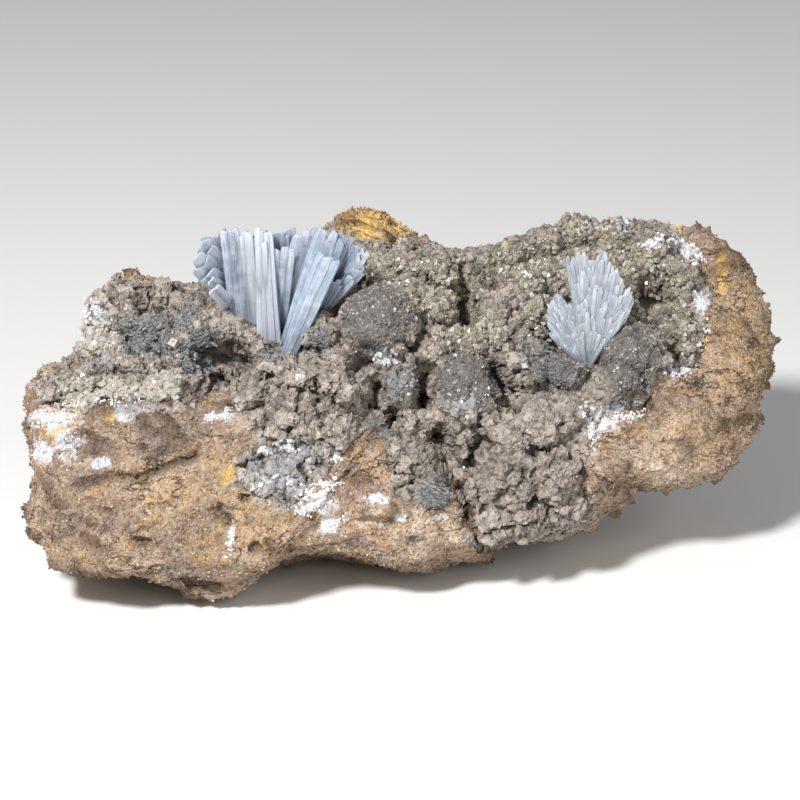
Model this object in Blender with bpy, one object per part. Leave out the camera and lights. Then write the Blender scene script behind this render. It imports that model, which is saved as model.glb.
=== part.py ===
"""Barite on matrix: two fans of pale blue barite blades on a grey crust over brown host rock.

Run it with blender --background --python part.py, or from Blender's text editor.

Shapes are worked out in millimetres in the frame of the crusted face: across runs to the right, up runs
up the face, and out points at someone who looks down on it from FACE_LEAN above level.
to_world turns that frame upright and into metres, with the specimen standing on z = 0.
"""

import math

import bmesh
import bpy
import numpy as np
from mathutils import Vector
from mathutils.geometry import delaunay_2d_cdt

# Driving dimensions of the specimen
FACE_LEAN = math.radians(22.0)
FACE_DEPTH = 20.0
BACK_DEPTH = 37.0
FLOOR_BELOW_MIDDLE = 32.9
MIDDLE_ACROSS = -1.455
MIDDLE_BEHIND = 2.67

# The rim of the face, seen square on, clockwise from the left end: (across, up)
RIM = [
    (-78, 1.5), (-77, 4), (-74.5, 6.5), (-71.5, 8), (-69.5, 10.5), (-67, 13), (-66.5, 17.5), (-65, 21),
    (-61, 24.5), (-56.5, 26), (-51.5, 25.5), (-47, 26), (-42.5, 25), (-34, 28.5), (-27.5, 31),
    (-20.5, 33.5), (-14.5, 38), (-11, 41), (-7, 41), (-2.5, 39), (2, 36.5), (5, 34.5), (10.5, 33.5),
    (16, 33), (21, 34), (26, 36.5), (31.5, 37.5), (38.5, 39), (44.5, 39.5), (54, 40),
    (58, 38.5), (63.5, 36), (67.5, 33.5), (71, 30.5), (74.5, 27), (77, 23.5), (80, 19.5), (82, 13),
    (81, 7.5), (78.5, 2.5), (77, -3.5), (73.5, -10), (69, -14.5), (63.5, -17.5), (57.5, -19), (51, -18.5),
    (49, -20.5), (42.5, -24.5), (36, -28.5), (31.5, -29.5), (23, -29.5), (19.5, -31), (15.5, -33),
    (10.5, -33), (6, -35), (1, -35.5), (-3.5, -33.5), (-9.5, -32), (-15.5, -30.5), (-21.5, -31.5),
    (-27, -33.5), (-30, -37), (-34, -40), (-38.5, -41), (-44.5, -39), (-51, -37.5), (-55.5, -35),
    (-64, -35.5), (-72, -34), (-74, -29.5), (-76.5, -23.5), (-75, -16.5), (-76.5, -10.5), (-78, -4),
]  # fmt: skip
RIM_STRETCH = 1.9

# The rim leans back towards the top and towards the right end
RIM_OUT_PER_ACROSS = -0.10
RIM_OUT_PER_UP = -0.36

# Cross-sections are boxier than an ellipse below 1
FACE_BOXINESS = 0.86
BACK_BOXINESS = 0.72

# Broad swells and hollows of the face: (across, up, half width, half height, height)
FACE_RELIEF = [
    (-52, -17, 30, 16, 6.0), (-20, 0, 15, 13, 5.0), (27, -13, 17, 14, 4.5), (48, 8, 9, 8, 4.5),
    (-12, -26, 22, 9, 3.5), (-52, 8, 20, 9, -4.0), (-36, 6, 6, 6, -8.0), (8, -9, 8, 9, -6.0),
    (14, 21, 6, 8, -4.0), (-23, 16, 8, 8, -4.5), (37, 12, 7, 8, -4.0), (54, 21, 6, 6, -4.0),
    (-4, 16, 10, 9, 3.0), (60, -6, 14, 12, 4.0), (30, 26, 20, 8, 2.0), (-5, -4, 5, 5, -4.0),
]  # fmt: skip

# Swells of the back and the underside, in the same words
BACK_RELIEF = [(-10, -21, 48, 13, 6.5), (45, 5, 16, 12, 4.0), (-45, 18, 18, 10, 4.0), (5, 24, 20, 9, 3.5)]

# Broken faces of the back and the underside: (across, up, out) of the outward normal, and how far they lie
# from the middle
BACK_BREAKS = [
    (0.10, 0.62, -0.78, 31), (-0.55, 0.25, -0.80, 47), (0.62, 0.20, -0.76, 52), (0.05, -0.15, -0.99, 35),
    (-0.75, -0.30, -0.58, 60), (0.40, -0.55, -0.73, 43), (-0.25, 0.80, -0.55, 38), (0.85, -0.20, -0.50, 66),
    (0.03, -0.93, -0.37, 36.5), (-0.20, -0.62, -0.76, 39), (0.30, 0.45, -0.84, 39),
]  # fmt: skip
BREAK_FLATNESS = 0.9
BREAK_FADE = 0.25

# The crust on the face, clockwise from the left end: (across, up). Points past the rim wrap over the crest
CRUST_EDGE = [
    (-77, 3), (-79, 5), (-72, 9.5), (-68, 14.5), (-67.5, 20.5), (-64, 26.5), (-58, 30.5), (-48, 30.5),
    (-38, 31.5), (-28, 34.5), (-18, 37.5), (-13, 34.5), (-7, 34.5), (-1, 33.5), (4, 34.5), (7, 37),
    (16, 36.5), (24, 38), (33, 40.5), (42, 41.5), (52, 41.5), (58, 39), (64, 35.5), (66.5, 31), (65, 21),
    (63.5, 12.5), (61.5, 8), (53.5, 3), (52, -2), (42, -1.5), (38, -5.5), (40, -10.5), (38.5, -16),
    (38, -21), (39.5, -24.5), (37, -28.5), (27, -31.5), (19, -32.5), (14.5, -27), (13, -22.5), (6.5, -20.5),
    (0.5, -17.5), (-2, -13), (-5.5, -8.5), (-11.5, -11.5), (-14, -17.5), (-19, -21), (-25, -18.5),
    (-30, -15), (-31.5, -10), (-30, -6), (-33, -2), (-36.5, -0.5), (-44.5, -1.5), (-53, -1.5), (-63.5, -2),
    (-72, 0),
]  # fmt: skip
CRUST_DEPTH = 7.5
CRUST_DEEPENS_OVER = 7.0
HOLES_REACH = 0.5
CRUST_LIP = 0.9
CRUST_THIN_EDGE = 2.5
GAP = 0.35
BED_WIDER = 0.5
BED_TOP = 14.0

# Rounded lumps of the crust: (across, up, radius)
CRUST_LUMPS = [
    (-62.5, 21, 4), (-58.5, 23, 4), (-50, 23.5, 4), (-53, 20, 3), (-44.5, 21, 3.5), (-40.5, 24.5, 3),
    (-57.5, 17.5, 4.5), (-51.5, 15, 4), (-42.5, 16, 4), (-36, 15, 4), (-32, 12.5, 3), (-17, 14, 4.5),
    (-21, 5.5, 4.5), (-27.5, 7.5, 3.5), (-12.5, 3, 4), (-31, 1, 4), (-21, -3, 5), (-11.5, -5.5, 4),
    (-27.5, -5.5, 3.5), (-4, 16.5, 8), (13, 2.5, 7), (5, 8.5, 3), (0, 3, 4), (7.5, 11.5, 3.5),
    (14, 12.5, 4), (8.5, -5.5, 4), (11.5, -11, 3.5), (3, -12.5, 4.5), (6.5, -18, 4), (0, -8.5, 4),
    (21, -6.5, 5), (28.5, -4, 5.5), (22.5, -15, 5.5), (31.5, -14.5, 5.5), (25.5, -23.5, 4.5),
    (34, -21, 4), (19, -24.5, 3.5), (26, 7.5, 5), (34, 6.5, 4.5), (34, -2, 4), (47.5, 11.5, 6.5),
    (44.5, 3, 4.5), (53, 6.5, 4), (58.5, 15, 4), (60, 9.5, 3), (51, 17.5, 3.5), (8.5, 27.5, 4),
    (2, 28.5, 4), (17, 29.5, 3.5), (23.5, 31, 4), (29.5, 33, 4.5), (25.5, 23.5, 4.5), (19, 19, 4),
    (8.5, 20, 4), (3, 22.5, 3.5), (29.5, 18, 4), (22.5, 14, 3.5), (38, 36, 4.5), (46.5, 35.5, 4),
    (53, 33, 4), (51, 26.5, 4), (59.5, 26.5, 4.5), (56, 34, 3), (61.5, 21, 3), (-72, 3, 3.5),
    (-66, 5.5, 4), (-64.5, 11.5, 4), (-59.5, 9.5, 4), (-53, 8.5, 4), (-46.5, 10.5, 4), (-49, 3, 4.5),
    (-57.5, 2, 4.5),
]  # fmt: skip
LUMP_HEIGHT = 1.1
LUMP_SINK = 1.6

# Holes and clefts between the lumps: (across, up, to across, to up, half width, depth)
CRUST_HOLES = [
    (8, -8, 10, -11.5, 1.8, 5.0), (10, -11.5, 12, -17, 1.9, 5.5), (12, -17, 14, -24, 1.4, 4.5),
    (17.5, -8.5, 14.5, -13, 1.8, 5.0), (5.5, 5.5, 5, 0, 1.8, 4.5), (-5, 2.5, -5.5, -1, 1.8, 4.5),
    (20, 6, 23, 0, 1.7, 5.0), (14, 24, 14.5, 18, 2.1, 5.0), (54, 23, 55, 18, 2.5, 5.5),
    (-38, 11, -34, 9, 2.8, 5.0), (-39, 5, -41, 1.5, 2.2, 4.5), (-8, 27, -8, 23, 1.7, 4.0),
    (-34, -3, -38, 1, 1.4, 3.5), (48, -1, 52, -1, 1.8, 3.0), (-6.5, 9, -9, 7, 1.8, 4.0),
    (56, 12, 58, 9.5, 1.4, 3.5), (-52, 23, -54, 20, 1.5, 3.0), (-2, -4, 0, -6, 1.6, 4.0),
]  # fmt: skip

# The barite fans: where the blades meet, (across, up), and how far the fan leans out of the face
LARGE_FAN_ROOT = (-23.4, 10.6)
LARGE_FAN_LEAN = math.radians(14.0)
SMALL_FAN_ROOT = (39.1, 7.9)
SMALL_FAN_LEAN = math.radians(24.0)

# Blades: (foot across, foot up, tip across, tip up, width, thickness, tip further out), from the root
LARGE_FAN_BLADES = [
    (-8.5, 8.5, -16.6, 18.0, 5.5, 2.0, -0.6), (-8.0, 7.5, -14.6, 22.0, 6.0, 2.2, -1.4),
    (-6.5, 6.5, -11.0, 23.8, 5.5, 2.4, 0.4), (-5.0, 5.0, -8.0, 23.6, 4.6, 2.4, 1.6),
    (-7.5, 7.0, -13.6, 11.8, 4.0, 1.8, 1.4), (-2.6, 1.5, -4.8, 25.2, 3.8, 2.8, 3.2),
    (-1.0, 3.0, -1.4, 23.4, 4.4, 2.4, -0.4), (0.0, 2.5, 2.2, 23.8, 4.6, 2.2, -1.6),
    (-0.5, 0.5, 7.0, 25.6, 6.0, 2.6, 1.0), (0.4, -0.6, 7.8, 17.5, 3.6, 2.6, 4.2),
    (1.2, 2.0, 10.6, 24.0, 5.0, 2.2, -0.4), (2.5, 4.5, 14.0, 21.8, 4.6, 2.0, 0.6),
    (4.0, 6.5, 15.4, 18.8, 3.8, 1.8, 1.6), (4.0, 6.5, 12.6, 15.0, 3.2, 1.6, 2.4),
]  # fmt: skip
SMALL_FAN_BLADES = [
    (-0.6, 3.0, -4.9, 22.6, 3.4, 1.4, 0.6), (-0.3, 1.0, -2.6, 23.4, 3.6, 1.5, 1.4),
    (0.2, 0.0, 0.2, 22.2, 3.6, 1.6, 0.4), (0.3, 0.0, 2.2, 23.8, 3.2, 1.5, 1.8),
    (0.5, 1.0, 4.2, 21.2, 3.4, 1.5, 0.8), (0.6, 2.0, 6.2, 18.0, 3.6, 1.5, 1.8),
    (0.8, 3.0, 7.8, 15.2, 3.6, 1.4, 0.8), (1.0, 4.0, 8.4, 12.0, 3.2, 1.3, 2.0),
    (0.0, 0.0, 0.6, 17.6, 6.0, 1.8, 3.0), (0.5, 2.0, 4.0, 14.6, 5.4, 1.7, 2.6),
    (-0.6, 3.5, -7.2, 15.4, 3.0, 1.3, 2.2), (-0.6, 3.0, -9.0, 13.2, 3.2, 1.3, 1.2),
    (-0.6, 2.0, -8.8, 10.4, 3.2, 1.3, 2.4), (-0.4, 1.0, -7.8, 7.4, 3.2, 1.3, 1.6),
]  # fmt: skip

# How far apart the corners of the facets are
RIM_SPACING = 3.6
HOST_FACE_SPACING = 3.3
HOST_BACK_SPACING = 5.2
CRUST_EDGE_SPACING = 2.6
CRUST_SPACING = 2.0
CRUST_UNDER_SPACING = 5.2

METRES = 0.001


# Rough texture, the same at every run


def lattice_random(cell, salt):
    """A repeatable number from 0 to 1 for each whole-number cell of space."""
    mixed = cell[..., 0] * 374761393 + cell[..., 1] * 668265263 + cell[..., 2] * 1440662683
    mixed = (mixed + salt * 974634777) & 0xFFFFFFFF
    mixed = ((mixed ^ (mixed >> 13)) * 1274126177) & 0xFFFFFFFF
    return ((mixed ^ (mixed >> 16)) & 0xFFFFFF) / float(0x1000000)


def smooth_noise(points, size, salt):
    """Values from -1 to 1 that drift over about size millimetres: random cell corners, blended smoothly."""
    scaled = points / size
    cell = np.floor(scaled).astype(np.int64)
    part = scaled - cell
    part = part * part * (3.0 - 2.0 * part)
    total = np.zeros(points.shape[:-1])
    for corner in np.ndindex(2, 2, 2):
        weight = np.prod(np.where(corner, part, 1.0 - part), axis=-1)
        total += weight * lattice_random(cell + np.array(corner), salt)
    return 2.0 * total - 1.0


def rough_noise(points, size, salt, octaves=3):
    """Smooth noise at size, half of it and so on, each half as strong."""
    total = np.zeros(points.shape[:-1])
    for octave in range(octaves):
        total += smooth_noise(points, size / 2**octave, salt + octave) / 2**octave
    return total


# The envelope: the specimen without its lumps and ledges
#
# Every ray from the middle of the face seen square on is a section through it. Along a section the turn runs
# from 0 in the middle of the face through 1 at the rim to 2 in the middle of the back, and draws half a boxy
# ellipse. Places are given unrolled, as if the skin were peeled flat: in the section's direction, as far out
# as the skin is long, in rims.

TURNS = np.linspace(0.0, 2.0, 401)
USUAL_RADIUS = 48.0


def section(turn):
    """How far out of the rim's radius a section has come at a turn, and its depth in millimetres."""
    on_face = turn <= 1
    boxiness = np.where(on_face, FACE_BOXINESS, BACK_BOXINESS)
    spread = np.abs(np.sin(turn * math.pi / 2)) ** boxiness
    bulge = np.abs(np.cos(turn * math.pi / 2)) ** boxiness
    return spread, bulge * np.where(on_face, FACE_DEPTH, -BACK_DEPTH)


def skin_lengths():
    """Length of skin, in rims, at each of TURNS: from 0 through 1 at the rim to 2."""
    spread, depth = section(TURNS)
    steps = np.hypot(np.diff(spread * USUAL_RADIUS), np.diff(depth))
    length = np.concatenate([[0.0], np.cumsum(steps)])
    at_rim = length[len(TURNS) // 2]
    return np.where(TURNS <= 1, length / at_rim, 1.0 + (length - at_rim) / (length[-1] - at_rim))


SKIN = skin_lengths()


def polar(across, up):
    """Direction and radius of a point of the face, with across shrunk so that the rim is nearly round."""
    squeezed = np.asarray(across, float) / RIM_STRETCH
    return np.arctan2(up, squeezed), np.hypot(up, squeezed)


def rim_radius(angle):
    """Radius of the rim in each direction, read between the points of RIM."""
    across, up = np.array(RIM, float).T
    at, radius = polar(across, up)
    order = np.argsort(at)
    return np.interp(angle, at[order], radius[order], period=2 * math.pi)


def unroll(across, up):
    """Unrolled place of a point of the face seen square on. A point past the rim lies over the crest."""
    angle, radius = polar(across, up)
    rim = rim_radius(angle)
    share = radius / rim
    turn = np.arcsin(np.minimum(share, 1.0) ** (1.0 / FACE_BOXINESS)) * 2.0 / math.pi
    reach = np.where(share <= 1.0, np.interp(turn, TURNS, SKIN), share) * rim
    return np.stack([RIM_STRETCH * reach * np.cos(angle), reach * np.sin(angle)], axis=-1)


def relief(swells, across, up):
    """Height of the broad swells and hollows: a bell curve for each."""
    total = np.zeros(np.shape(across))
    for middle, level, half_width, half_height, height in swells:
        distance = ((across - middle) / half_width) ** 2 + ((up - level) / half_height) ** 2
        total += height * np.exp(-distance)
    return total


def break_back(points, turn):
    """Presses what stands past each broken face of the back down to its plane."""
    strength = BREAK_FLATNESS * np.clip((turn - 1.0) / BREAK_FADE, 0.0, 1.0)
    for across, up, out, distance in BACK_BREAKS:
        normal = np.array([across, up, out])
        normal /= np.linalg.norm(normal)
        over = np.maximum(points @ normal - distance, 0.0)
        points = points - (strength * over)[..., None] * normal
    return points


def envelope(places):
    """Points of the envelope at unrolled places, and the directions that lead straight out of it: those of
    a plain ellipsoid's normals."""
    angle, reach = polar(places[..., 0], places[..., 1])
    rim = rim_radius(angle)
    turn = np.interp(reach / rim, SKIN, TURNS)
    spread, depth = section(turn)
    across = RIM_STRETCH * rim * spread * np.cos(angle)
    up = rim * spread * np.sin(angle)
    half_depth = np.where(turn <= 1, FACE_DEPTH, BACK_DEPTH)
    directions = np.stack([across / 80.0**2, up / 38.0**2, depth / half_depth**2], axis=-1)
    directions /= np.linalg.norm(directions, axis=-1, keepdims=True)
    out = RIM_OUT_PER_ACROSS * across + RIM_OUT_PER_UP * up + depth
    on_face = relief(FACE_RELIEF, across, up) * np.clip(2.0 * depth / FACE_DEPTH, 0.0, 1.0)
    behind = relief(BACK_RELIEF, across, up) * np.clip(-2.0 * depth / BACK_DEPTH, 0.0, 1.0)
    points = np.stack([across, up, out], axis=-1) + (on_face + behind)[..., None] * directions
    return break_back(points, turn), directions


def face_point(across, up):
    """The envelope's point at a place on the face."""
    return envelope(unroll(across, up))[0]


def to_world(points):
    """Leans the face frame back by FACE_LEAN, and turns millimetres into metres above the floor."""
    across, up, out = np.moveaxis(np.asarray(points, float), -1, 0)
    depth = up * math.sin(FACE_LEAN) - out * math.cos(FACE_LEAN) + MIDDLE_BEHIND
    height = up * math.cos(FACE_LEAN) + out * math.sin(FACE_LEAN) + FLOOR_BELOW_MIDDLE
    return np.stack([across + MIDDLE_ACROSS, depth, height], axis=-1) * METRES


# Making solids


def solid_material(name, colour, roughness):
    """A plain principled finish."""
    material = bpy.data.materials.new(name)
    material.use_nodes = True
    shader = material.node_tree.nodes["Principled BSDF"]
    shader.inputs["Base Color"].default_value = (*colour, 1.0)
    shader.inputs["Roughness"].default_value = roughness
    shader.inputs["Metallic"].default_value = 0.0
    return material


def add_object(name, mesh, material=None):
    """Links a mesh to the scene as an object of that name."""
    made = bpy.data.objects.new(name, mesh)
    bpy.context.scene.collection.objects.link(made)
    if material is not None:
        mesh.materials.append(material)
    return made


def closed_mesh(name, points, faces):
    """A mesh from millimetre points, with its faces turned to look outwards."""
    mesh = bpy.data.meshes.new(name)
    mesh.from_pydata(to_world(points).tolist(), [], faces)
    shape = bmesh.new()
    shape.from_mesh(mesh)
    bmesh.ops.recalc_face_normals(shape, faces=shape.faces)
    shape.to_mesh(mesh)
    shape.free()
    return mesh


def resample(outline, spacing):
    """A closed outline with its corners spacing apart."""
    looped = np.vstack([outline, outline[:1]])
    run = np.concatenate([[0.0], np.cumsum(np.linalg.norm(np.diff(looped, axis=0), axis=1))])
    stations = np.linspace(0.0, run[-1], int(run[-1] / spacing), endpoint=False)
    return np.stack([np.interp(stations, run, looped[:, axis]) for axis in (0, 1)], axis=-1)


def distance_inside(outline, places):
    """How far inside a closed outline each place lies, negative outside: the distance to its nearest side,
    with the sign from how many sides a level line from the place crosses."""
    start, end = outline, np.roll(outline, -1, axis=0)
    side = end - start
    offset = places[:, None] - start
    share = np.clip((offset * side).sum(-1) / (side**2).sum(-1), 0.0, 1.0)
    nearest = np.linalg.norm(offset - share[..., None] * side, axis=-1).min(axis=1)
    straddles = (start[:, 1] > places[:, None, 1]) != (end[:, 1] > places[:, None, 1])
    rise = np.where(side[:, 1] == 0.0, 1.0, side[:, 1])
    crossing = start[:, 0] + (places[:, None, 1] - start[:, 1]) / rise * side[:, 0]
    crossings = (straddles & (crossing > places[:, None, 0])).sum(axis=1)
    return np.where(crossings % 2 == 1, nearest, -nearest)


def fill(outline, spacing):
    """Places and triangles that fill a closed outline: its own corners first, then a staggered grid that is
    slightly shaken. Returns both."""
    low, high = outline.min(axis=0), outline.max(axis=0)
    row_spacing = spacing * math.sqrt(0.75)
    column, row = np.meshgrid(
        np.arange(int((high[0] - low[0]) / spacing) + 1), np.arange(int((high[1] - low[1]) / row_spacing) + 1)
    )
    cells = np.stack([column, row, 0 * row], axis=-1).reshape(-1, 3)
    shake = np.stack([lattice_random(cells, 5), lattice_random(cells, 6)], axis=-1) - 0.5
    grid = low + (cells[:, :2] + 0.5 * shake) * [spacing, row_spacing]
    grid[:, 0] += spacing * 0.5 * (cells[:, 1] % 2)
    grid = grid[distance_inside(outline, grid) > 0.55 * spacing]
    places = np.vstack([outline, grid])
    sides = [(n, (n + 1) % len(outline)) for n in range(len(outline))]
    flat, _, triangles, origins, _, _ = delaunay_2d_cdt([Vector(p) for p in places], sides, [], 1, 1e-5)
    original = [sources[0] for sources in origins]
    return places, [tuple(original[corner] for corner in triangle) for triangle in triangles]


def join_sheets(upper, upper_faces, lower, lower_faces, rim_count, wall):
    """Points and faces of a solid between two sheets that start with the same rim. With wall, each has rim
    points of its own, joined by a wall. Without, the lower sheet uses the upper one's."""
    shift = len(upper) if wall else len(upper) - rim_count
    lower_points = lower if wall else lower[rim_count:]

    def moved(corner):
        return corner if corner < rim_count and not wall else corner + shift

    faces = list(upper_faces) + [tuple(moved(corner) for corner in face) for face in lower_faces]
    if wall:
        for corner in range(rim_count):
            beside = (corner + 1) % rim_count
            faces.append((corner, beside, beside + shift, corner + shift))
    return np.vstack([upper, lower_points]), faces


def cut_flat(mesh):
    """Cuts a mesh off level at the floor and closes it with a flat face."""
    shape = bmesh.new()
    shape.from_mesh(mesh)
    everything = shape.verts[:] + shape.edges[:] + shape.faces[:]
    bmesh.ops.bisect_plane(
        shape, geom=everything, dist=1e-6, plane_co=(0, 0, 0), plane_no=(0, 0, -1), clear_outer=True
    )
    open_edges = [edge for edge in shape.edges if edge.is_boundary]
    bmesh.ops.holes_fill(shape, edges=open_edges, sides=0)
    bmesh.ops.recalc_face_normals(shape, faces=shape.faces)
    shape.to_mesh(mesh)
    shape.free()


def subtract(target, cutter):
    """Cuts a hidden helper out of an object with a live Boolean."""
    cutter.hide_render = True
    cutter.display_type = "WIRE"
    cut = target.modifiers.new("Cut by " + cutter.name, "BOOLEAN")
    cut.operation = "DIFFERENCE"
    cut.solver = "EXACT"
    cut.object = cutter


# The host rock


def ledges(points):
    """Height of the broken ledges and bumps of the bare rock, broader and higher towards the back."""
    flattened = points * np.array([0.55, 1.4, 1.0])
    behind = np.clip(-points[..., 2] / BACK_DEPTH, 0.0, 1.0)
    return 1.5 * rough_noise(flattened, 9.0, salt=11) + 2.4 * behind * rough_noise(points, 24.0, salt=31)


def build_host_rock():
    """The brown rock: a sheet for its face and one for its back, meeting at the rim, cut flat where it
    stands."""
    rim = resample(unroll(*np.array(RIM, float).T * 0.99999), RIM_SPACING)
    face_places, face_triangles = fill(rim, HOST_FACE_SPACING)
    back_flat, back_triangles = fill(rim, HOST_BACK_SPACING)
    angle, reach = polar(back_flat[:, 0], back_flat[:, 1])
    to_rim = rim_radius(angle) / reach
    back_places = back_flat * (2.0 * to_rim - 1.0)[:, None]
    sheets = []
    for places in (face_places, back_places):
        points, directions = envelope(places)
        sheets.append(points + directions * ledges(points)[:, None])
    points, faces = join_sheets(
        sheets[0], face_triangles, sheets[1], back_triangles, rim_count=len(rim), wall=False
    )
    mesh = closed_mesh("host_rock", points, faces)
    cut_flat(mesh)
    return add_object("host_rock", mesh, solid_material("brown_rock", (0.36, 0.23, 0.13), 0.9))


# The grey crust


def lump_heights(points):
    """Height of the rounded lumps: the tallest of the half spheres that cover each point."""
    tallest = np.zeros(points.shape[:-1])
    for across, up, radius in CRUST_LUMPS:
        share = np.linalg.norm(points - face_point(across, up), axis=-1) / (1.15 * radius)
        tallest = np.maximum(tallest, LUMP_HEIGHT * radius * np.sqrt(np.maximum(1.0 - share**2, 0.0)))
    return tallest


def hole_depths(points):
    """Depth of the holes and clefts: a bell curve round each short line between two places."""
    deepest = np.zeros(points.shape[:-1])
    for from_across, from_up, to_across, to_up, half_width, depth in CRUST_HOLES:
        start = face_point(from_across, from_up)
        run = face_point(to_across, to_up) - start
        share = np.clip((points - start) @ run / (run @ run), 0.0, 1.0)
        distance = np.linalg.norm(points - start - share[..., None] * run, axis=-1)
        deepest = np.maximum(deepest, depth * np.exp(-((distance / half_width) ** 2)))
    return deepest


def crust_outline():
    """The crust's edge, unrolled."""
    return resample(unroll(*np.array(CRUST_EDGE, float).T), CRUST_EDGE_SPACING)


def crust_depth(outline, places):
    """How deep the crust reaches under the envelope: CRUST_LIP at its edge, CRUST_DEPTH further in."""
    full = np.clip(distance_inside(outline, places) / CRUST_DEEPENS_OVER, 0.0, 1.0)
    return CRUST_LIP + (CRUST_DEPTH - CRUST_LIP) * full


def build_crust():
    """The grey crust: rounded lumps with holes and clefts between them, thin at its broken edge."""
    outline = crust_outline()
    top_places, top_triangles = fill(outline, CRUST_SPACING)
    under_places, under_triangles = fill(outline, CRUST_UNDER_SPACING)
    top, top_out = envelope(top_places)
    under, under_out = envelope(under_places)
    full = np.clip(distance_inside(outline, top_places) / CRUST_THIN_EDGE, 0.0, 1.0)
    texture = 0.7 * rough_noise(top, 4.5, salt=3, octaves=2)
    lift = 0.3 + full * (lump_heights(top) + texture - hole_depths(top) - LUMP_SINK)
    lift = np.maximum(lift, -HOLES_REACH * crust_depth(outline, top_places))
    points, faces = join_sheets(
        top + top_out * lift[:, None],
        top_triangles,
        under - under_out * crust_depth(outline, under_places)[:, None],
        under_triangles,
        rim_count=len(outline),
        wall=True,
    )
    mesh = closed_mesh("grey_crust", points, faces)
    return add_object("grey_crust", mesh, solid_material("grey_crust", (0.23, 0.19, 0.15), 0.85))


def build_crust_bed():
    """A helper: the space that the crust fills, a gap deeper and wider all round, to cut from the rock."""
    outline = crust_outline()
    places, triangles = fill(outline, CRUST_UNDER_SPACING)
    depth = crust_depth(outline, places) + GAP
    along = np.roll(outline, -1, axis=0) - np.roll(outline, 1, axis=0)
    sideways = np.stack([along[:, 1], -along[:, 0]], axis=-1)
    sideways /= np.linalg.norm(sideways, axis=-1, keepdims=True)
    wider = outline + BED_WIDER * sideways
    if distance_inside(outline, wider).mean() > 0:
        wider = outline - BED_WIDER * sideways
    places[: len(outline)] = wider
    points, directions = envelope(places)
    points, faces = join_sheets(
        points + directions * BED_TOP,
        triangles,
        points - directions * depth[:, None],
        triangles,
        rim_count=len(outline),
        wall=True,
    )
    return add_object("crust_bed", closed_mesh("crust_bed", points, faces))


# The barite fans


def blade_sections(foot, tip, width, thickness, spare):
    """Six-sided cross-sections of one tabular blade: narrow at the foot, widest near a chisel tip.
    spare makes it that much bigger all round."""
    length = np.linalg.norm(tip - foot)
    along = (tip - foot) / length
    sideways = np.cross(along, [0.0, 0.0, 1.0])
    sideways /= np.linalg.norm(sideways)
    forward = np.cross(sideways, along)
    outline = np.array([(-0.5, 0.0), (-0.36, 0.5), (0.36, 0.5), (0.5, 0.0), (0.36, -0.5), (-0.36, -0.5)])
    stations = [(0.0, 0.5, 0.75), (0.45, 0.85, 1.0), (0.9, 1.0, 0.95), (1.0, 0.7, 0.4)]
    sections = []
    for share, broad, deep in stations:
        middle = foot + along * (share * length + spare * (2.0 * share - 1.0))
        reach = outline * [width * broad + 2.0 * spare, thickness * deep + 2.0 * spare]
        sections.append(middle + reach[:, :1] * sideways + reach[:, 1:] * forward)
    return np.array(sections)


def blade_shell(sections):
    """Points and faces of a blade from its cross-sections, with a cap at each end."""
    count, sides = sections.shape[0], sections.shape[1]
    faces = [tuple(range(sides)), tuple(range((count - 1) * sides, count * sides))[::-1]]
    for level in range(count - 1):
        for side in range(sides):
            low, high = level * sides, (level + 1) * sides
            beside = (side + 1) % sides
            faces.append((low + side, low + beside, high + beside, high + side))
    return sections.reshape(-1, 3), faces


def fan_blades(root, lean, blades, sink, spare=0.0):
    """Cross-sections of every blade of a fan that stands on the crust at root."""
    ground = face_point(*root)
    made = []
    for foot_across, foot_up, tip_across, tip_up, width, thickness, further_out in blades:
        foot = ground + np.array([foot_across, foot_up, foot_up * math.tan(lean) - sink])
        tip = ground + np.array([tip_across, tip_up, tip_up * math.tan(lean) + further_out])
        made.append(blade_sections(foot, tip, width, thickness, spare))
    return made


def build_fan(name, root, lean, blades, sink, material):
    """One fan: its blades grown into each other, joined to a single solid."""
    shells = [blade_shell(sections) for sections in fan_blades(root, lean, blades, sink)]
    fan = add_object(name, closed_mesh(name, *shells[0]), material)
    points, faces = [], []
    for shell_points, shell_faces in shells[1:]:
        faces += [tuple(corner + len(points) for corner in face) for face in shell_faces]
        points += shell_points.tolist()
    others = add_object(name + "_blades", closed_mesh(name + "_blades", np.array(points), faces))
    others.hide_render = True
    others.display_type = "WIRE"
    join = fan.modifiers.new("Grown into its neighbours", "BOOLEAN")
    join.operation = "UNION"
    join.solver = "EXACT"
    join.use_self = True
    join.object = others


def build_socket(name, root, lean, blades, sink):
    """A helper: the convex hull of a fan, a gap wider all round, to cut from the crust and the rock."""
    shape = bmesh.new()
    for sections in fan_blades(root, lean, blades, sink, spare=GAP):
        for point in to_world(sections.reshape(-1, 3)):
            shape.verts.new(point)
    hull = bmesh.ops.convex_hull(shape, input=shape.verts)
    leftover = {item for item in hull["geom_interior"] + hull["geom_unused"]}
    bmesh.ops.delete(shape, geom=[v for v in leftover if isinstance(v, bmesh.types.BMVert)])
    bmesh.ops.recalc_face_normals(shape, faces=shape.faces)
    mesh = bpy.data.meshes.new(name)
    shape.to_mesh(mesh)
    shape.free()
    return add_object(name, mesh)


def main():
    for leftover in list(bpy.data.objects):
        bpy.data.objects.remove(leftover)
    rock = build_host_rock()
    crust = build_crust()
    subtract(rock, build_crust_bed())
    barite = solid_material("blue_barite", (0.62, 0.71, 0.82), 0.25)
    fans = [
        ("barite_fan_large", LARGE_FAN_ROOT, LARGE_FAN_LEAN, LARGE_FAN_BLADES, 1.5),
        ("barite_fan_small", SMALL_FAN_ROOT, SMALL_FAN_LEAN, SMALL_FAN_BLADES, 1.0),
    ]
    for name, root, lean, blades, sink in fans:
        build_fan(name, root, lean, blades, sink, barite)
        subtract(crust, build_socket(name + "_socket", root, lean, blades, sink))


main()
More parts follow.
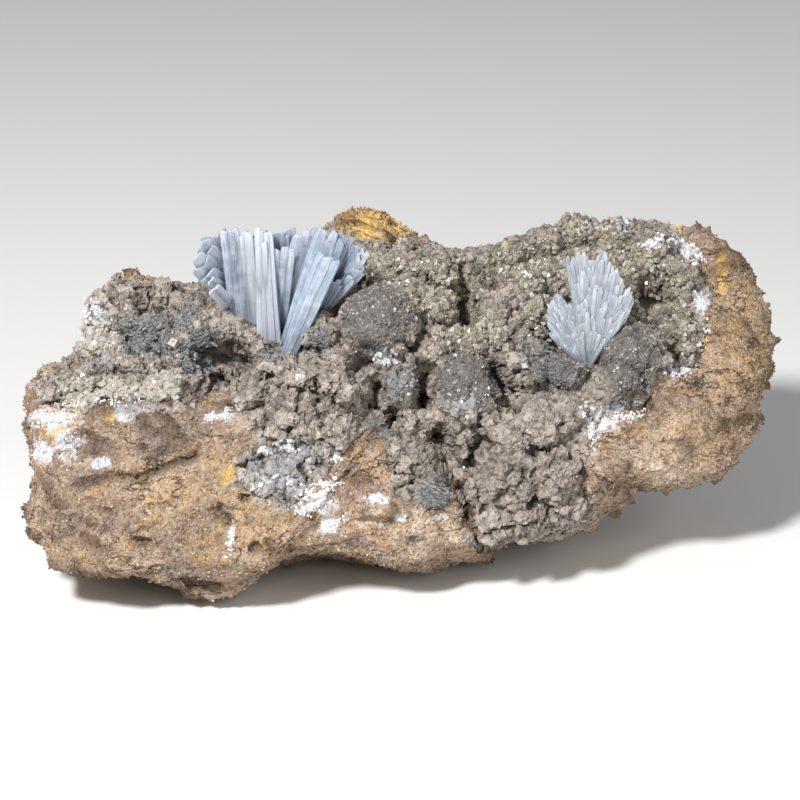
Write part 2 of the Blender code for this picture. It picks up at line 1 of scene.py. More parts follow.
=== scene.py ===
"""Barite on matrix, dressed: brown host rock, grey crust with its druse, and two fans of pale blue barite.

Run it with blender --background --python scene.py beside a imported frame.

Shapes are worked out in millimetres in the frame of the crusted face: across runs to the right, up runs
up the face, and out points at someone who looks down on it from FACE_LEAN above level. to_world turns that
frame upright and into metres. Each skin is a surface over a grid of unrolled places, as if the specimen's
skin were peeled flat.
"""

import math

import bpy
import numpy as np
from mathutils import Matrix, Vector


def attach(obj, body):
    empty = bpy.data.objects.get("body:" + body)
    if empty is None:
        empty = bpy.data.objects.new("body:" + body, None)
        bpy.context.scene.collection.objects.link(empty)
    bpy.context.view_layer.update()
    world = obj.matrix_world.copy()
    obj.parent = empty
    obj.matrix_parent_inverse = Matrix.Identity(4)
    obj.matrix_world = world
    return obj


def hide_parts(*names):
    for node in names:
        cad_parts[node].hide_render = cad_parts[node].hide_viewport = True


bl_info = {
    "name": "Barite on Matrix",
    "version": (1, 0, 0),
    "blender": (4, 5, 0),
    "location": "3D View > Sidebar > Barite",
    "description": "Dresses a barite specimen: host rock, crust, druse and two fans of blades",
    "category": "Object",
}

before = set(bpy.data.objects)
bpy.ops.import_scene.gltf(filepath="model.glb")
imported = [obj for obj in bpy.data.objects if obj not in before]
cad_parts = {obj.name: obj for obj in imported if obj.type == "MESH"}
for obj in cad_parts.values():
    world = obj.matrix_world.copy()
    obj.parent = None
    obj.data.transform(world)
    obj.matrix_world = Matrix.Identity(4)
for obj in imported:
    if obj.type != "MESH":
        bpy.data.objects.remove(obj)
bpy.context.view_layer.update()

# The solid's driving dimensions, repeated so that the skins follow it
FACE_LEAN = math.radians(22.0)
FACE_DEPTH = 20.0
BACK_DEPTH = 37.0
FLOOR_BELOW_MIDDLE = 32.9
MIDDLE_ACROSS = -1.455
MIDDLE_BEHIND = 2.67
METRES = 0.001

# The rim of the face, seen square on, clockwise from the left end: (across, up)
RIM = [
    (-78, 1.5), (-77, 4), (-74.5, 6.5), (-71.5, 8), (-69.5, 10.5), (-67, 13), (-66.5, 17.5), (-65, 21),
    (-61, 24.5), (-56.5, 26), (-51.5, 25.5), (-47, 26), (-42.5, 25), (-34, 28.5), (-27.5, 31),
    (-20.5, 33.5), (-14.5, 38), (-11, 41), (-7, 41), (-2.5, 39), (2, 36.5), (5, 34.5), (10.5, 33.5),
    (16, 33), (21, 34), (26, 36.5), (31.5, 37.5), (38.5, 39), (44.5, 39.5), (54, 40),
    (58, 38.5), (63.5, 36), (67.5, 33.5), (71, 30.5), (74.5, 27), (77, 23.5), (80, 19.5), (82, 13),
    (81, 7.5), (78.5, 2.5), (77, -3.5), (73.5, -10), (69, -14.5), (63.5, -17.5), (57.5, -19), (51, -18.5),
    (49, -20.5), (42.5, -24.5), (36, -28.5), (31.5, -29.5), (23, -29.5), (19.5, -31), (15.5, -33),
    (10.5, -33), (6, -35), (1, -35.5), (-3.5, -33.5), (-9.5, -32), (-15.5, -30.5), (-21.5, -31.5),
    (-27, -33.5), (-30, -37), (-34, -40), (-38.5, -41), (-44.5, -39), (-51, -37.5), (-55.5, -35),
    (-64, -35.5), (-72, -34), (-74, -29.5), (-76.5, -23.5), (-75, -16.5), (-76.5, -10.5), (-78, -4),
]  # fmt: skip
RIM_STRETCH = 1.9
RIM_OUT_PER_ACROSS = -0.10
RIM_OUT_PER_UP = -0.36
FACE_BOXINESS = 0.86
BACK_BOXINESS = 0.72
USUAL_RADIUS = 48.0

# Broad swells and hollows: (across, up, half width, half height, height)
FACE_RELIEF = [
    (-52, -17, 30, 16, 6.0), (-20, 0, 15, 13, 5.0), (27, -13, 17, 14, 4.5), (48, 8, 9, 8, 4.5),
    (-12, -26, 22, 9, 3.5), (-52, 8, 20, 9, -4.0), (-36, 6, 6, 6, -8.0), (8, -9, 8, 9, -6.0),
    (14, 21, 6, 8, -4.0), (-23, 16, 8, 8, -4.5), (37, 12, 7, 8, -4.0), (54, 21, 6, 6, -4.0),
    (-4, 16, 10, 9, 3.0), (60, -6, 14, 12, 4.0), (30, 26, 20, 8, 2.0), (-5, -4, 5, 5, -4.0),
]  # fmt: skip
BACK_RELIEF = [(-10, -21, 48, 13, 6.5), (45, 5, 16, 12, 4.0), (-45, 18, 18, 10, 4.0), (5, 24, 20, 9, 3.5)]

# Broken faces of the back: (across, up, out) of the outward normal, and how far they lie from the middle
BACK_BREAKS = [
    (0.10, 0.62, -0.78, 31), (-0.55, 0.25, -0.80, 47), (0.62, 0.20, -0.76, 52), (0.05, -0.15, -0.99, 35),
    (-0.75, -0.30, -0.58, 60), (0.40, -0.55, -0.73, 43), (-0.25, 0.80, -0.55, 38), (0.85, -0.20, -0.50, 66),
    (0.03, -0.93, -0.37, 36.5), (-0.20, -0.62, -0.76, 39), (0.30, 0.45, -0.84, 39),
]  # fmt: skip
BREAK_FLATNESS = 0.9
BREAK_FADE = 0.25

# The crust on the face, clockwise from the left end: (across, up). Points past the rim wrap over the crest
CRUST_EDGE = [
    (-77, 3), (-79, 5), (-72, 9.5), (-68, 14.5), (-67.5, 20.5), (-64, 26.5), (-58, 30.5), (-48, 30.5),
    (-38, 31.5), (-28, 34.5), (-18, 37.5), (-13, 34.5), (-7, 34.5), (-1, 33.5), (4, 34.5), (7, 37),
    (16, 36.5), (24, 38), (33, 40.5), (42, 41.5), (52, 41.5), (58, 39), (64, 35.5), (66.5, 31), (65, 21),
    (63.5, 12.5), (61.5, 8), (53.5, 3), (52, -2), (42, -1.5), (38, -5.5), (40, -10.5), (38.5, -16),
    (38, -21), (39.5, -24.5), (37, -28.5), (27, -31.5), (19, -32.5), (14.5, -27), (13, -22.5), (6.5, -20.5),
    (0.5, -17.5), (-2, -13), (-5.5, -8.5), (-11.5, -11.5), (-14, -17.5), (-19, -21), (-25, -18.5),
    (-28.5, -15.5), (-32.5, -12), (-28, -8.5), (-33, -4.5), (-31.5, -1.5), (-38.5, 0), (-44.5, -2),
    (-53, -0.5), (-63.5, -2),
    (-72, 0),
]  # fmt: skip
CRUST_THIN_EDGE = 2.5
LUMP_HEIGHT = 1.1
LUMP_SINK = 1.6

# Rounded lumps of the crust: (across, up, radius)
CRUST_LUMPS = [
    (-62.5, 21, 4), (-58.5, 23, 4), (-50, 23.5, 4), (-53, 20, 3), (-44.5, 21, 3.5), (-40.5, 24.5, 3),
    (-57.5, 17.5, 4.5), (-51.5, 15, 4), (-42.5, 16, 4), (-36, 15, 4), (-32, 12.5, 3), (-17, 14, 4.5),
    (-21, 5.5, 4.5), (-27.5, 7.5, 3.5), (-12.5, 3, 4), (-31, 1, 4), (-21, -3, 5), (-11.5, -5.5, 4),
    (-27.5, -5.5, 3.5), (-4, 16.5, 8), (13, 2.5, 7), (5, 8.5, 3), (0, 3, 4), (7.5, 11.5, 3.5),
    (14, 12.5, 4), (8.5, -5.5, 4), (11.5, -11, 3.5), (3, -12.5, 4.5), (6.5, -18, 4), (0, -8.5, 4),
    (21, -6.5, 5), (28.5, -4, 5.5), (22.5, -15, 5.5), (31.5, -14.5, 5.5), (25.5, -23.5, 4.5),
    (34, -21, 4), (19, -24.5, 3.5), (26, 7.5, 5), (34, 6.5, 4.5), (34, -2, 4), (47.5, 11.5, 6.5),
    (44.5, 3, 4.5), (53, 6.5, 4), (58.5, 15, 4), (60, 9.5, 3), (51, 17.5, 3.5), (8.5, 27.5, 4),
    (2, 28.5, 4), (17, 29.5, 3.5), (23.5, 31, 4), (29.5, 33, 4.5), (25.5, 23.5, 4.5), (19, 19, 4),
    (8.5, 20, 4), (3, 22.5, 3.5), (29.5, 18, 4), (22.5, 14, 3.5), (38, 36, 4.5), (46.5, 35.5, 4),
    (53, 33, 4), (51, 26.5, 4), (59.5, 26.5, 4.5), (56, 34, 3), (61.5, 21, 3), (-72, 3, 3.5),
    (-66, 5.5, 4), (-64.5, 11.5, 4), (-59.5, 9.5, 4), (-53, 8.5, 4), (-46.5, 10.5, 4), (-49, 3, 4.5),
    (-57.5, 2, 4.5),
]  # fmt: skip

# Holes and clefts between the lumps: (across, up, to across, to up, half width, depth)
CRUST_HOLES = [
    (8, -8, 10, -11.5, 1.8, 5.0), (10, -11.5, 12, -17, 1.9, 5.5), (12, -17, 14, -24, 1.4, 4.5),
    (17.5, -8.5, 14.5, -13, 1.8, 5.0), (5.5, 5.5, 5, 0, 1.8, 4.5), (-5, 2.5, -5.5, -1, 1.8, 4.5),
    (20, 6, 23, 0, 1.7, 5.0), (14, 24, 14.5, 18, 2.1, 5.0), (54, 23, 55, 18, 2.5, 5.5),
    (-38, 11, -34, 9, 2.8, 5.0), (-39, 5, -41, 1.5, 2.2, 4.5), (-8, 27, -8, 23, 1.7, 4.0),
    (-34, -3, -38, 1, 1.4, 3.5), (48, -1, 52, -1, 1.8, 3.0), (-6.5, 9, -9, 7, 1.8, 4.0),
    (56, 12, 58, 9.5, 1.4, 3.5), (-52, 23, -54, 20, 1.5, 3.0), (-2, -4, 0, -6, 1.6, 4.0),
]  # fmt: skip

# How much further the holes go than in the solid, and how far down at most
HOLES_DEEPER = 1.8
DEEPEST_HOLE = 8.0

# Pits and overhangs of the bare rock, in the same words
ROCK_HOLES = [
    (-13, -30.3, -7, -31.2, 1.3, 3.2), (-31.6, -18.6, -30.8, -18.8, 0.7, 1.6), (-29, -28, -28.4, -28.4, 0.8, 1.6),
    (-10.6, -14.2, -8.6, -15.4, 0.8, 1.2), (2.5, -27.6, 3.2, -28, 0.9, 1.5), (-44, -37, -38, -38.6, 1.8, 2.4),
    (-76, -13.3, -63, -15, 0.9, 1.7), (-63, -15, -51, -14.2, 1.0, 1.9), (-51, -14.2, -41, -10.5, 0.9, 2.0),
    (-74, -18, -58, -21, 0.8, 1.3), (-63, -26.5, -58.5, -28.5, 1.2, 1.6), (-52, -26, -50, -27, 0.9, 1.4),
    (-57, -35.5, -47, -37.5, 1.6, 2.4), (-26, -27, -22, -29, 1.0, 1.6), (-36, -21, -34, -23.5, 0.9, 1.6),
]  # fmt: skip

# The barite fans: root (across, up), lean out of the face, how deep the root sinks, and the blades
# (foot across, foot up, tip across, tip up, width, thickness, tip further out, share of the width at the
# foot, how many laths, how milky) from the root
LARGE_FAN_ROOT = (-23.4, 10.6)
LARGE_FAN_LEAN = math.radians(14.0)
LARGE_FAN_SINK = 4.0
SMALL_FAN_ROOT = (39.1, 7.9)
SMALL_FAN_LEAN = math.radians(24.0)
SMALL_FAN_SINK = 2.4
LARGE_FAN_BLADES = [
    (-10.6, 11.4, -16.6, 15.4, 3.6, 0.9, -0.2, 0.8, 2, 0.7), (-10.6, 11.0, -17.6, 17.6, 4.4, 0.9, 0.1, 0.8, 2, 0.55),
    (-10.6, 10.6, -17.4, 20.2, 5.0, 1.0, 0.4, 0.8, 2, 0.75), (-10.4, 10.2, -16.8, 22.4, 4.8, 1.0, 0.0, 0.8, 2, 0.55),
    (-10.4, 9.8, -15.2, 23.8, 4.6, 1.0, -0.2, 0.8, 3, 0.7), (-9.8, 9.0, -13.4, 24.6, 4.6, 1.1, -0.5, 0.8, 3, 0.6),
    (-11.0, 11.6, -15.9, 14.2, 2.0, 1.0, 0.8, 0.8, 2, 0.7), (-11.2, 8.4, -15.2, 12.6, 2.6, 1.5, 1.4, 0.8, 2, 0.95),
    (-10.7, 6.2, -12.0, 24.4, 2.6, 1.6, 1.2, 1.0, 2, 0.35), (-8.9, 5.6, -9.9, 24.8, 3.8, 1.5, 0.6, 0.9, 2, 0.5),
    (-6.8, 5.4, -7.6, 24.0, 3.8, 1.5, 1.0, 0.9, 3, 0.65), (-7.8, 7.0, -6.2, 23.2, 2.6, 1.3, -0.4, 0.9, 3, 0.3),
    (-4.1, 2.0, -4.5, 25.7, 3.4, 2.2, 2.3, 1.35, 4, 0.85), (-5.2, 3.0, -5.0, 22.6, 2.0, 2.0, 2.5, 1.1, 2, 0.9),
    (-2.9, 8.0, -2.6, 24.6, 3.0, 1.2, 0.3, 0.9, 2, 0.3), (-1.5, 8.0, -0.9, 24.0, 2.8, 1.2, 0.1, 0.9, 3, 0.45),
    (-0.4, 8.0, 0.5, 25.2, 2.8, 1.2, 0.3, 0.9, 3, 0.3), (0.6, 8.0, 2.2, 24.4, 3.0, 1.2, 0.0, 0.9, 2, 0.4),
    (-2.4, 4.0, -0.2, 21.4, 3.8, 1.3, 1.3, 0.7, 3, 0.45), (-1.7, 4.8, 4.6, 24.9, 4.8, 1.5, 0.9, 0.6, 3, 0.6),
    (-1.2, 3.6, 6.6, 25.4, 3.8, 1.5, 1.3, 0.6, 3, 0.3), (-0.4, 1.6, 8.9, 24.6, 4.2, 1.6, 1.7, 0.55, 2, 0.35),
    (0.6, 1.4, 10.6, 23.8, 4.2, 1.6, 1.3, 0.55, 4, 0.25), (0.2, -1.0, 9.2, 19.8, 4.6, 2.2, 3.2, 0.6, 3, 0.3),
    (2.4, 5.0, 12.0, 24.0, 3.8, 1.1, 0.4, 0.6, 4, 0.35), (3.4, 6.4, 13.6, 22.8, 3.2, 1.0, 0.1, 0.6, 3, 0.2),
    (3.8, 6.6, 15.0, 21.8, 3.2, 1.0, 0.5, 0.6, 4, 0.45), (4.2, 6.8, 16.6, 21.0, 3.0, 1.0, 0.2, 0.6, 3, 0.55),
    (4.4, 6.6, 16.2, 18.4, 2.8, 1.0, 0.6, 0.6, 3, 0.35), (4.8, 6.2, 15.4, 16.6, 2.6, 1.0, 0.3, 0.6, 3, 0.2),
    (4.8, 5.8, 13.4, 15.0, 2.4, 1.0, 0.5, 0.6, 3, 0.5), (4.2, 4.6, 10.8, 14.4, 2.4, 1.0, 0.7, 0.6, 3, 0.3),
]  # fmt: skip

# The small fan is a leaf of needles: where the tips of each lobe lie from the root (across, up), how many
# needles a layer has, and for each layer the shortest and longest share of the way to those tips and how far
# out it stands
LEAF_LOBES = [
    ([(-2.8, 15.0), (-3.6, 17.6), (-4.6, 22.0), (-3.2, 22.8), (-1.3, 23.4), (0.2, 21.2), (1.4, 21.6), (2.3, 23.8),
      (3.2, 23.4), (4.3, 21.4), (6.0, 19.6), (6.9, 17.0), (8.5, 16.0), (9.4, 13.8), (9.0, 11.4), (6.6, 8.4)], 58),
    ([(-2.6, 12.4), (-4.6, 12.2), (-7.0, 14.8), (-8.0, 13.6), (-8.8, 12.4), (-8.4, 10.2), (-8.8, 8.4), (-7.9, 6.3), (-5.2, 4.4)], 32),
]  # fmt: skip
LEAF_LAYERS = [(0.92, 1.0, 0.1), (0.78, 0.98, 0.4), (0.56, 0.9, 0.7), (0.3, 0.7, 0.9)]
LEAF_THICKNESS = 0.85

# Where each finish lies on the face: (across, up, half width, half height)
SLATE_PATCHES = [
    (-52.6, 13.8, 9, 6.5), (-41, 9.5, 5, 8), (-43.5, 17, 4.5, 3.5), (31.2, 7.2, 9.5, 6), (0, 2.5, 4.5, 4.5),
    (58.4, 17, 3.5, 4), (-16.8, 12.3, 4, 4), (-4, -7, 3.5, 3.5), (6, -18.7, 5, 4), (-26, 9.5, 3, 3),
    (41, 13, 3, 5),
]  # fmt: skip
GOLDEN_PATCHES = [
    (7.4, 23.3, 11, 10.6), (27.6, 28.6, 13, 9), (50.9, 25.5, 12.5, 12), (14.9, 14, 9, 5.5),
    (30.8, 17, 9, 4.5), (-3.2, 28, 6, 5), (60, 14, 5, 8), (40, 34, 14, 7), (-61.5, 2.1, 10.6, 4.6),
    (-48.8, 3.6, 5.6, 4.4),
]  # fmt: skip
PALE_PATCHES = [(-61.5, 1.5, 11, 4.2), (-48.8, 3.2, 5.6, 4.2), (-64, 14, 5, 4)]
# Patches where the crust and its slate are painted darker.
DARK_PATCHES = [(25, -16, 16, 13), (6, -15, 7, 6), (-42, 22, 12, 5), (47, 0, 8, 5), (31.2, 7.2, 10, 7), (60, 13, 6, 8)]
DOME_PATCHES = [(-4.2, 16.6, 8.5, 7.6), (14.4, 3.6, 7.8, 8), (47.7, 8.5, 8.2, 9)]
CRUST_WHITE = [
    (-66.2, 15.9, 3.6, 3.4), (-63.7, 18.7, 3, 2), (-4.2, 8.9, 4.6, 1.7), (61.1, 32.5, 5, 3.4),
    (45.6, 37.5, 6, 2.2), (54.1, 32.9, 3.4, 1.9), (63.4, 19.1, 2.2, 5.3), (58.4, 5.9, 3.2, 1.6),
    (42.4, -3.2, 6, 2.2), (-55, -0.5, 9, 1.8), (-24, -15.5, 6, 3), (-28, -9, 4, 2),
]  # fmt: skip
ROCK_WHITE = [
    (-72.1, -3.2, 7.6, 3), (-66.8, -8.5, 5, 4.6), (-74.3, -10.6, 3.4, 3.4), (-53, -2.4, 9.5, 2.6),
    (-34, -27.6, 0.7, 4.6), (-17.4, -20.5, 5, 3.6), (-14.9, -25.5, 3, 2), (-60, -13, 3, 2),
    (42, -5.5, 5.5, 2.6), (64.6, 22, 2.6, 7), (-36.5, -3, 4, 1.5), (-72, 9, 3, 2.4), (-68, 14, 3, 4),
    (62, 34, 5, 3), (-5, -20, 3, 2), (1, -24, 3, 1.4),
]  # fmt: skip
QUARTZ_PATCHES = [(-24, -15.5, 9.5, 8)]
ROCK_GREY = [(-51, -8.5, 14, 6), (-10.6, -13.5, 3, 2.6), (-68, -22, 8, 7), (-62, -15, 9, 3), (-42, -36, 12, 3)]
ROCK_ORANGE = [
    (-5.5, 37.5, 9.6, 4.6), (-73.2, 6.8, 1.6, 1.4), (26.5, 38.6, 9, 1.8), (57.3, 38, 8, 2.6),
    (64, 13, 2, 5), (69, 27, 2, 6), (-33, -13, 1.4, 4), (-70.5, -6.5, 4, 2.6), (-58, -3.5, 3, 1),
]  # fmt: skip
ROCK_SANDY = [(3, -27, 13, 8), (54, -12, 14, 9), (-17, -27, 8, 5), (38, -18, 8, 10), (-68, -2, 8, 5), (-31, -4, 6, 4)]
ROCK_GOLDEN = [
    (-36, -14, 7, 8), (-9, -12, 5, 5), (74, 14, 13, 26), (60, -8, 12, 6), (-30, -26, 16, 9), (-47, -20, 10, 7),
    (-66, -31, 7, 5),
]  # fmt: skip


# Rough texture, the same at every run


def mixed_bits(cell, salt):
    """A repeatable scrambled whole number for each whole-number cell of space."""
    mixed = cell[..., 0] * 374761393 + cell[..., 1] * 668265263 + cell[..., 2] * 1440662683
    mixed = (mixed + salt * 974634777) & 0xFFFFFFFF
    mixed = ((mixed ^ (mixed >> 13)) * 1274126177) & 0xFFFFFFFF
    return (mixed ^ (mixed >> 16)) & 0xFFFFFF


def lattice_random(cell, salt):
    """A repeatable number from 0 to 1 for each whole-number cell of space."""
    return mixed_bits(cell, salt) / float(0x1000000)


def smooth_noise(points, size, salt):
    """Values from -1 to 1 that drift over about size millimetres: random cell corners, blended smoothly."""
    scaled = points / size
    cell = np.floor(scaled).astype(np.int64)
    part = scaled - cell
    part = part * part * (3.0 - 2.0 * part)
    total = np.zeros(points.shape[:-1])
    for corner in np.ndindex(2, 2, 2):
        weight = np.prod(np.where(corner, part, 1.0 - part), axis=-1)
        total += weight * lattice_random(cell + np.array(corner), salt)
    return 2.0 * total - 1.0


def rough_noise(points, size, salt, octaves=3):
    """Smooth noise at size, half of it and so on, each half as strong."""
    total = np.zeros(points.shape[:-1])
    for octave in range(octaves):
        total += smooth_noise(points, size / 2**octave, salt + octave) / 2**octave
    return total


def ridge_noise(points, size, salt, octaves=3):
    """Sharp crests where smooth noise crosses zero: one less its size without sign, over several octaves."""
    total = np.zeros(points.shape[:-1])
    for octave in range(octaves):
        total += (1.0 - 2.0 * np.abs(smooth_noise(points, size / 2**octave, salt + octave))) / 2**octave
    return total


def grains(points, size, salt):
    """Grains of about size millimetres, one seed at a random place in each cell of space. Returns the distance
    to the nearest seed and on to the next one, in sizes, the offset from the nearest, and its cell."""
    scaled = points / size
    home = np.floor(scaled).astype(np.int64)
    nearest = np.full(points.shape[:-1], 9.0)
    second = np.full(points.shape[:-1], 9.0)
    offset = np.zeros(points.shape)
    owner = np.zeros(points.shape, np.int64)
    for step in np.ndindex(3, 3, 3):
        cell = home + np.array(step) - 1
        bits = mixed_bits(cell, salt)
        seed = cell + np.stack([bits & 0xFF, (bits >> 8) & 0xFF, bits >> 16], axis=-1) / 256.0
        away = scaled - seed
        distance = np.linalg.norm(away, axis=-1)
        closer = distance < nearest
        second = np.where(closer, nearest, np.minimum(second, distance))
        nearest = np.where(closer, distance, nearest)
        offset = np.where(closer[..., None], away, offset)
        owner = np.where(closer[..., None], cell, owner)
    return nearest, second, offset, owner


def random_directions(cell, salt):
    """A repeatable vector within the unit cube for each cell."""
    return np.stack([lattice_random(cell, salt + axis) for axis in range(3)], axis=-1) * 2.0 - 1.0


def ease(value):
    """Rises smoothly from 0 to 1 as value does, and stays level outside."""
    value = np.clip(value, 0.0, 1.0)
    return value * value * (3.0 - 2.0 * value)


# The envelope: the specimen without its lumps and ledges
#
# Every ray from the middle of the face seen square on is a section through it. Along a section the turn runs
# from 0 in the middle of the face through 1 at the rim to 2 in the middle of the back, and draws half a boxy
# ellipse.

TURNS = np.linspace(0.0, 2.0, 401)


def section(turn):
    """How far out of the rim's radius a section has come at a turn, and its depth in millimetres."""
    on_face = turn <= 1
    boxiness = np.where(on_face, FACE_BOXINESS, BACK_BOXINESS)
    spread = np.abs(np.sin(turn * math.pi / 2)) ** boxiness
    bulge = np.abs(np.cos(turn * math.pi / 2)) ** boxiness
    return spread, bulge * np.where(on_face, FACE_DEPTH, -BACK_DEPTH)


def skin_lengths():
    """Length of skin, in rims, at each of TURNS: from 0 through 1 at the rim to 2."""
    spread, depth = section(TURNS)
    steps = np.hypot(np.diff(spread * USUAL_RADIUS), np.diff(depth))
    length = np.concatenate([[0.0], np.cumsum(steps)])
    at_rim = length[len(TURNS) // 2]
    return np.where(TURNS <= 1, length / at_rim, 1.0 + (length - at_rim) / (length[-1] - at_rim))


SKIN = skin_lengths()


def polar(across, up):
    """Direction and radius of a point of the face, with across shrunk so that the rim is nearly round."""
    squeezed = np.asarray(across, float) / RIM_STRETCH
    return np.arctan2(up, squeezed), np.hypot(up, squeezed)


def rim_radius(angle):
    """Radius of the rim in each direction, read between the points of RIM."""
    across, up = np.array(RIM, float).T
    at, radius = polar(across, up)
    order = np.argsort(at)
    return np.interp(angle, at[order], radius[order], period=2 * math.pi)


def unroll(across, up):
    """Unrolled place of a point of the face seen square on. A point past the rim lies over the crest."""
    angle, radius = polar(across, up)
    rim = rim_radius(angle)
    share = radius / rim
    turn = np.arcsin(np.minimum(share, 1.0) ** (1.0 / FACE_BOXINESS)) * 2.0 / math.pi
    reach = np.where(share <= 1.0, np.interp(turn, TURNS, SKIN), share) * rim
    return np.stack([RIM_STRETCH * reach * np.cos(angle), reach * np.sin(angle)], axis=-1)


def relief(swells, across, up):
    """Height of the broad swells and hollows: a bell curve for each."""
    total = np.zeros(np.shape(across))
    for middle, level, half_width, half_height, height in swells:
        distance = ((across - middle) / half_width) ** 2 + ((up - level) / half_height) ** 2
        total += height * np.exp(-distance)
    return total


def break_back(points, turn):
    """Presses what stands past each broken face of the back down to its plane."""
    strength = BREAK_FLATNESS * np.clip((turn - 1.0) / BREAK_FADE, 0.0, 1.0)
    for across, up, out, distance in BACK_BREAKS:
        normal = np.array([across, up, out])
        normal /= np.linalg.norm(normal)
        over = np.maximum(points @ normal - distance, 0.0)
        points = points - (strength * over)[..., None] * normal
    return points


def envelope(places):
    """Points of the envelope at unrolled places, and the directions that lead straight out of it: those of
    a plain ellipsoid's normals."""
    angle, reach = polar(places[..., 0], places[..., 1])
    rim = rim_radius(angle)
    turn = np.interp(reach / rim, SKIN, TURNS)
    spread, depth = section(turn)
    across = RIM_STRETCH * rim * spread * np.cos(angle)
    up = rim * spread * np.sin(angle)
    half_depth = np.where(turn <= 1, FACE_DEPTH, BACK_DEPTH)
    directions = np.stack([across / 80.0**2, up / 38.0**2, depth / half_depth**2], axis=-1)
    directions /= np.linalg.norm(directions, axis=-1, keepdims=True)
    out = RIM_OUT_PER_ACROSS * across + RIM_OUT_PER_UP * up + depth
    on_face = relief(FACE_RELIEF, across, up) * np.clip(2.0 * depth / FACE_DEPTH, 0.0, 1.0)
    behind = relief(BACK_RELIEF, across, up) * np.clip(-2.0 * depth / BACK_DEPTH, 0.0, 1.0)
    points = np.stack([across, up, out], axis=-1) + (on_face + behind)[..., None] * directions
    return break_back(points, turn), directions


def face_point(across, up):
    """The envelope's point at a place on the face."""
    return envelope(unroll(across, up))[0]


def to_world(points):
    """Leans the face frame back by FACE_LEAN, and turns millimetres into metres above the floor."""
    across, up, out = np.moveaxis(np.asarray(points, float), -1, 0)
    depth = up * math.sin(FACE_LEAN) - out * math.cos(FACE_LEAN) + MIDDLE_BEHIND
    height = up * math.cos(FACE_LEAN) + out * math.sin(FACE_LEAN) + FLOOR_BELOW_MIDDLE
    return np.stack([across + MIDDLE_ACROSS, depth, height], axis=-1) * METRES


def hole_depths(points, holes):
    """Depth of the holes and clefts: a bell curve round each short line between two places."""
    deepest = np.zeros(points.shape[:-1])
    for from_across, from_up, to_across, to_up, half_width, depth in holes:
        start = face_point(from_across, from_up)
        run = face_point(to_across, to_up) - start
        share = np.clip((points - start) @ run / (run @ run), 0.0, 1.0)
        distance = np.linalg.norm(points - start - share[..., None] * run, axis=-1)
        deepest = np.maximum(deepest, depth * np.exp(-((distance / half_width) ** 2)))
    return deepest


def distance_inside(outline, places):
    """How far inside a closed outline each place lies, negative outside: the distance to its nearest side,
    with the sign from how many sides a level line from the place crosses."""
    start, end = outline, np.roll(outline, -1, axis=0)
    side = end - start
    nearest = np.full(len(places), np.inf)
    crossings = np.zeros(len(places), int)
    for first, last, along in zip(start, end, side):
        offset = places - first
        share = np.clip(offset @ along / (along @ along), 0.0, 1.0)
        nearest = np.minimum(nearest, np.linalg.norm(offset - share[:, None] * along, axis=-1))
        straddles = (first[1] > places[:, 1]) != (last[1] > places[:, 1])
        rise = along[1] if along[1] else 1.0
        crossings += straddles & (first[0] + offset[:, 1] / rise * along[0] > places[:, 0])
    return np.where(crossings % 2 == 1, nearest, -nearest)


CRUST_WANDER = 2.4
CRUST_WANDER_SIZE = 6.5


def inside_crust(places):
    """How far inside the crust's ragged edge each unrolled place lies: inside CRUST_EDGE, plus noise."""
    flat = places.reshape(-1, 2)
    outline = unroll(*np.array(CRUST_EDGE, float).T)
    level = np.stack([flat[:, 0], flat[:, 1], np.zeros(len(flat))], axis=-1)
    wander = CRUST_WANDER * rough_noise(level, CRUST_WANDER_SIZE, salt=81, octaves=2)
    return (distance_inside(outline, flat) + wander).reshape(places.shape[:-1])


def patch(points, places, salt, softness=0.3, wobble=0.35, size=4.0):
    """How much each point belongs to a set of patches on the face, from 0 to 1: one inside the nearest
    ellipse, with an edge that noise breaks up."""
    level = np.full(points.shape[:-1], -9.0)
    for across, up, half_width, half_height in places:
        away = np.hypot((points[..., 0] - across) / half_width, (points[..., 1] - up) / half_height)
        level = np.maximum(level, 1.0 - away)
    return ease((level + wobble * rough_noise(points, size, salt)) / softness)


# Meshes from arrays


def mesh_object(name, points, faces, attributes, material, smooth=True):
    """A mesh object from millimetre points, arrays of three- or four-cornered faces, and a number for each
    point under each attribute's name."""
    mesh = bpy.data.meshes.new(name)
    corners = [len(group) * group.shape[1] for group in faces]
    sizes = np.concatenate([np.full(len(group), group.shape[1]) for group in faces])
    mesh.vertices.add(len(points))
    mesh.vertices.foreach_set("co", to_world(points).astype(np.float32).ravel())
    mesh.loops.add(sum(corners))
    mesh.loops.foreach_set("vertex_index", np.concatenate([group.ravel() for group in faces]).astype(np.int32))
    mesh.polygons.add(len(sizes))
    starts = np.concatenate([[0], np.cumsum(sizes)[:-1]])
    mesh.polygons.foreach_set("loop_start", starts.astype(np.int32))
    mesh.polygons.foreach_set("use_smooth", np.full(len(sizes), smooth))
    mesh.update(calc_edges=True)
    for label, values in attributes.items():
        layer = mesh.attributes.new(label, "FLOAT", "POINT")
        layer.data.foreach_set("value", np.asarray(values, np.float32).ravel())
    mesh.validate()
    mesh.materials.append(material)
    made = bpy.data.objects.new(name, mesh)
    bpy.context.scene.collection.objects.link(made)
    return made


def grid_normals(points, closed_round=False):
    """Outward unit normals of a surface given as a grid of rows and columns: the cross product of its steps
    along the columns and along the rows."""
    if closed_round:
        along = np.roll(points, -1, axis=1) - np.roll(points, 1, axis=1)
    else:
        along = np.gradient(points, axis=1)
    upward = np.gradient(points, axis=0)
    normals = np.cross(along, upward)
    return normals / np.maximum(np.linalg.norm(normals, axis=-1, keepdims=True), 1e-9)


# The host rock

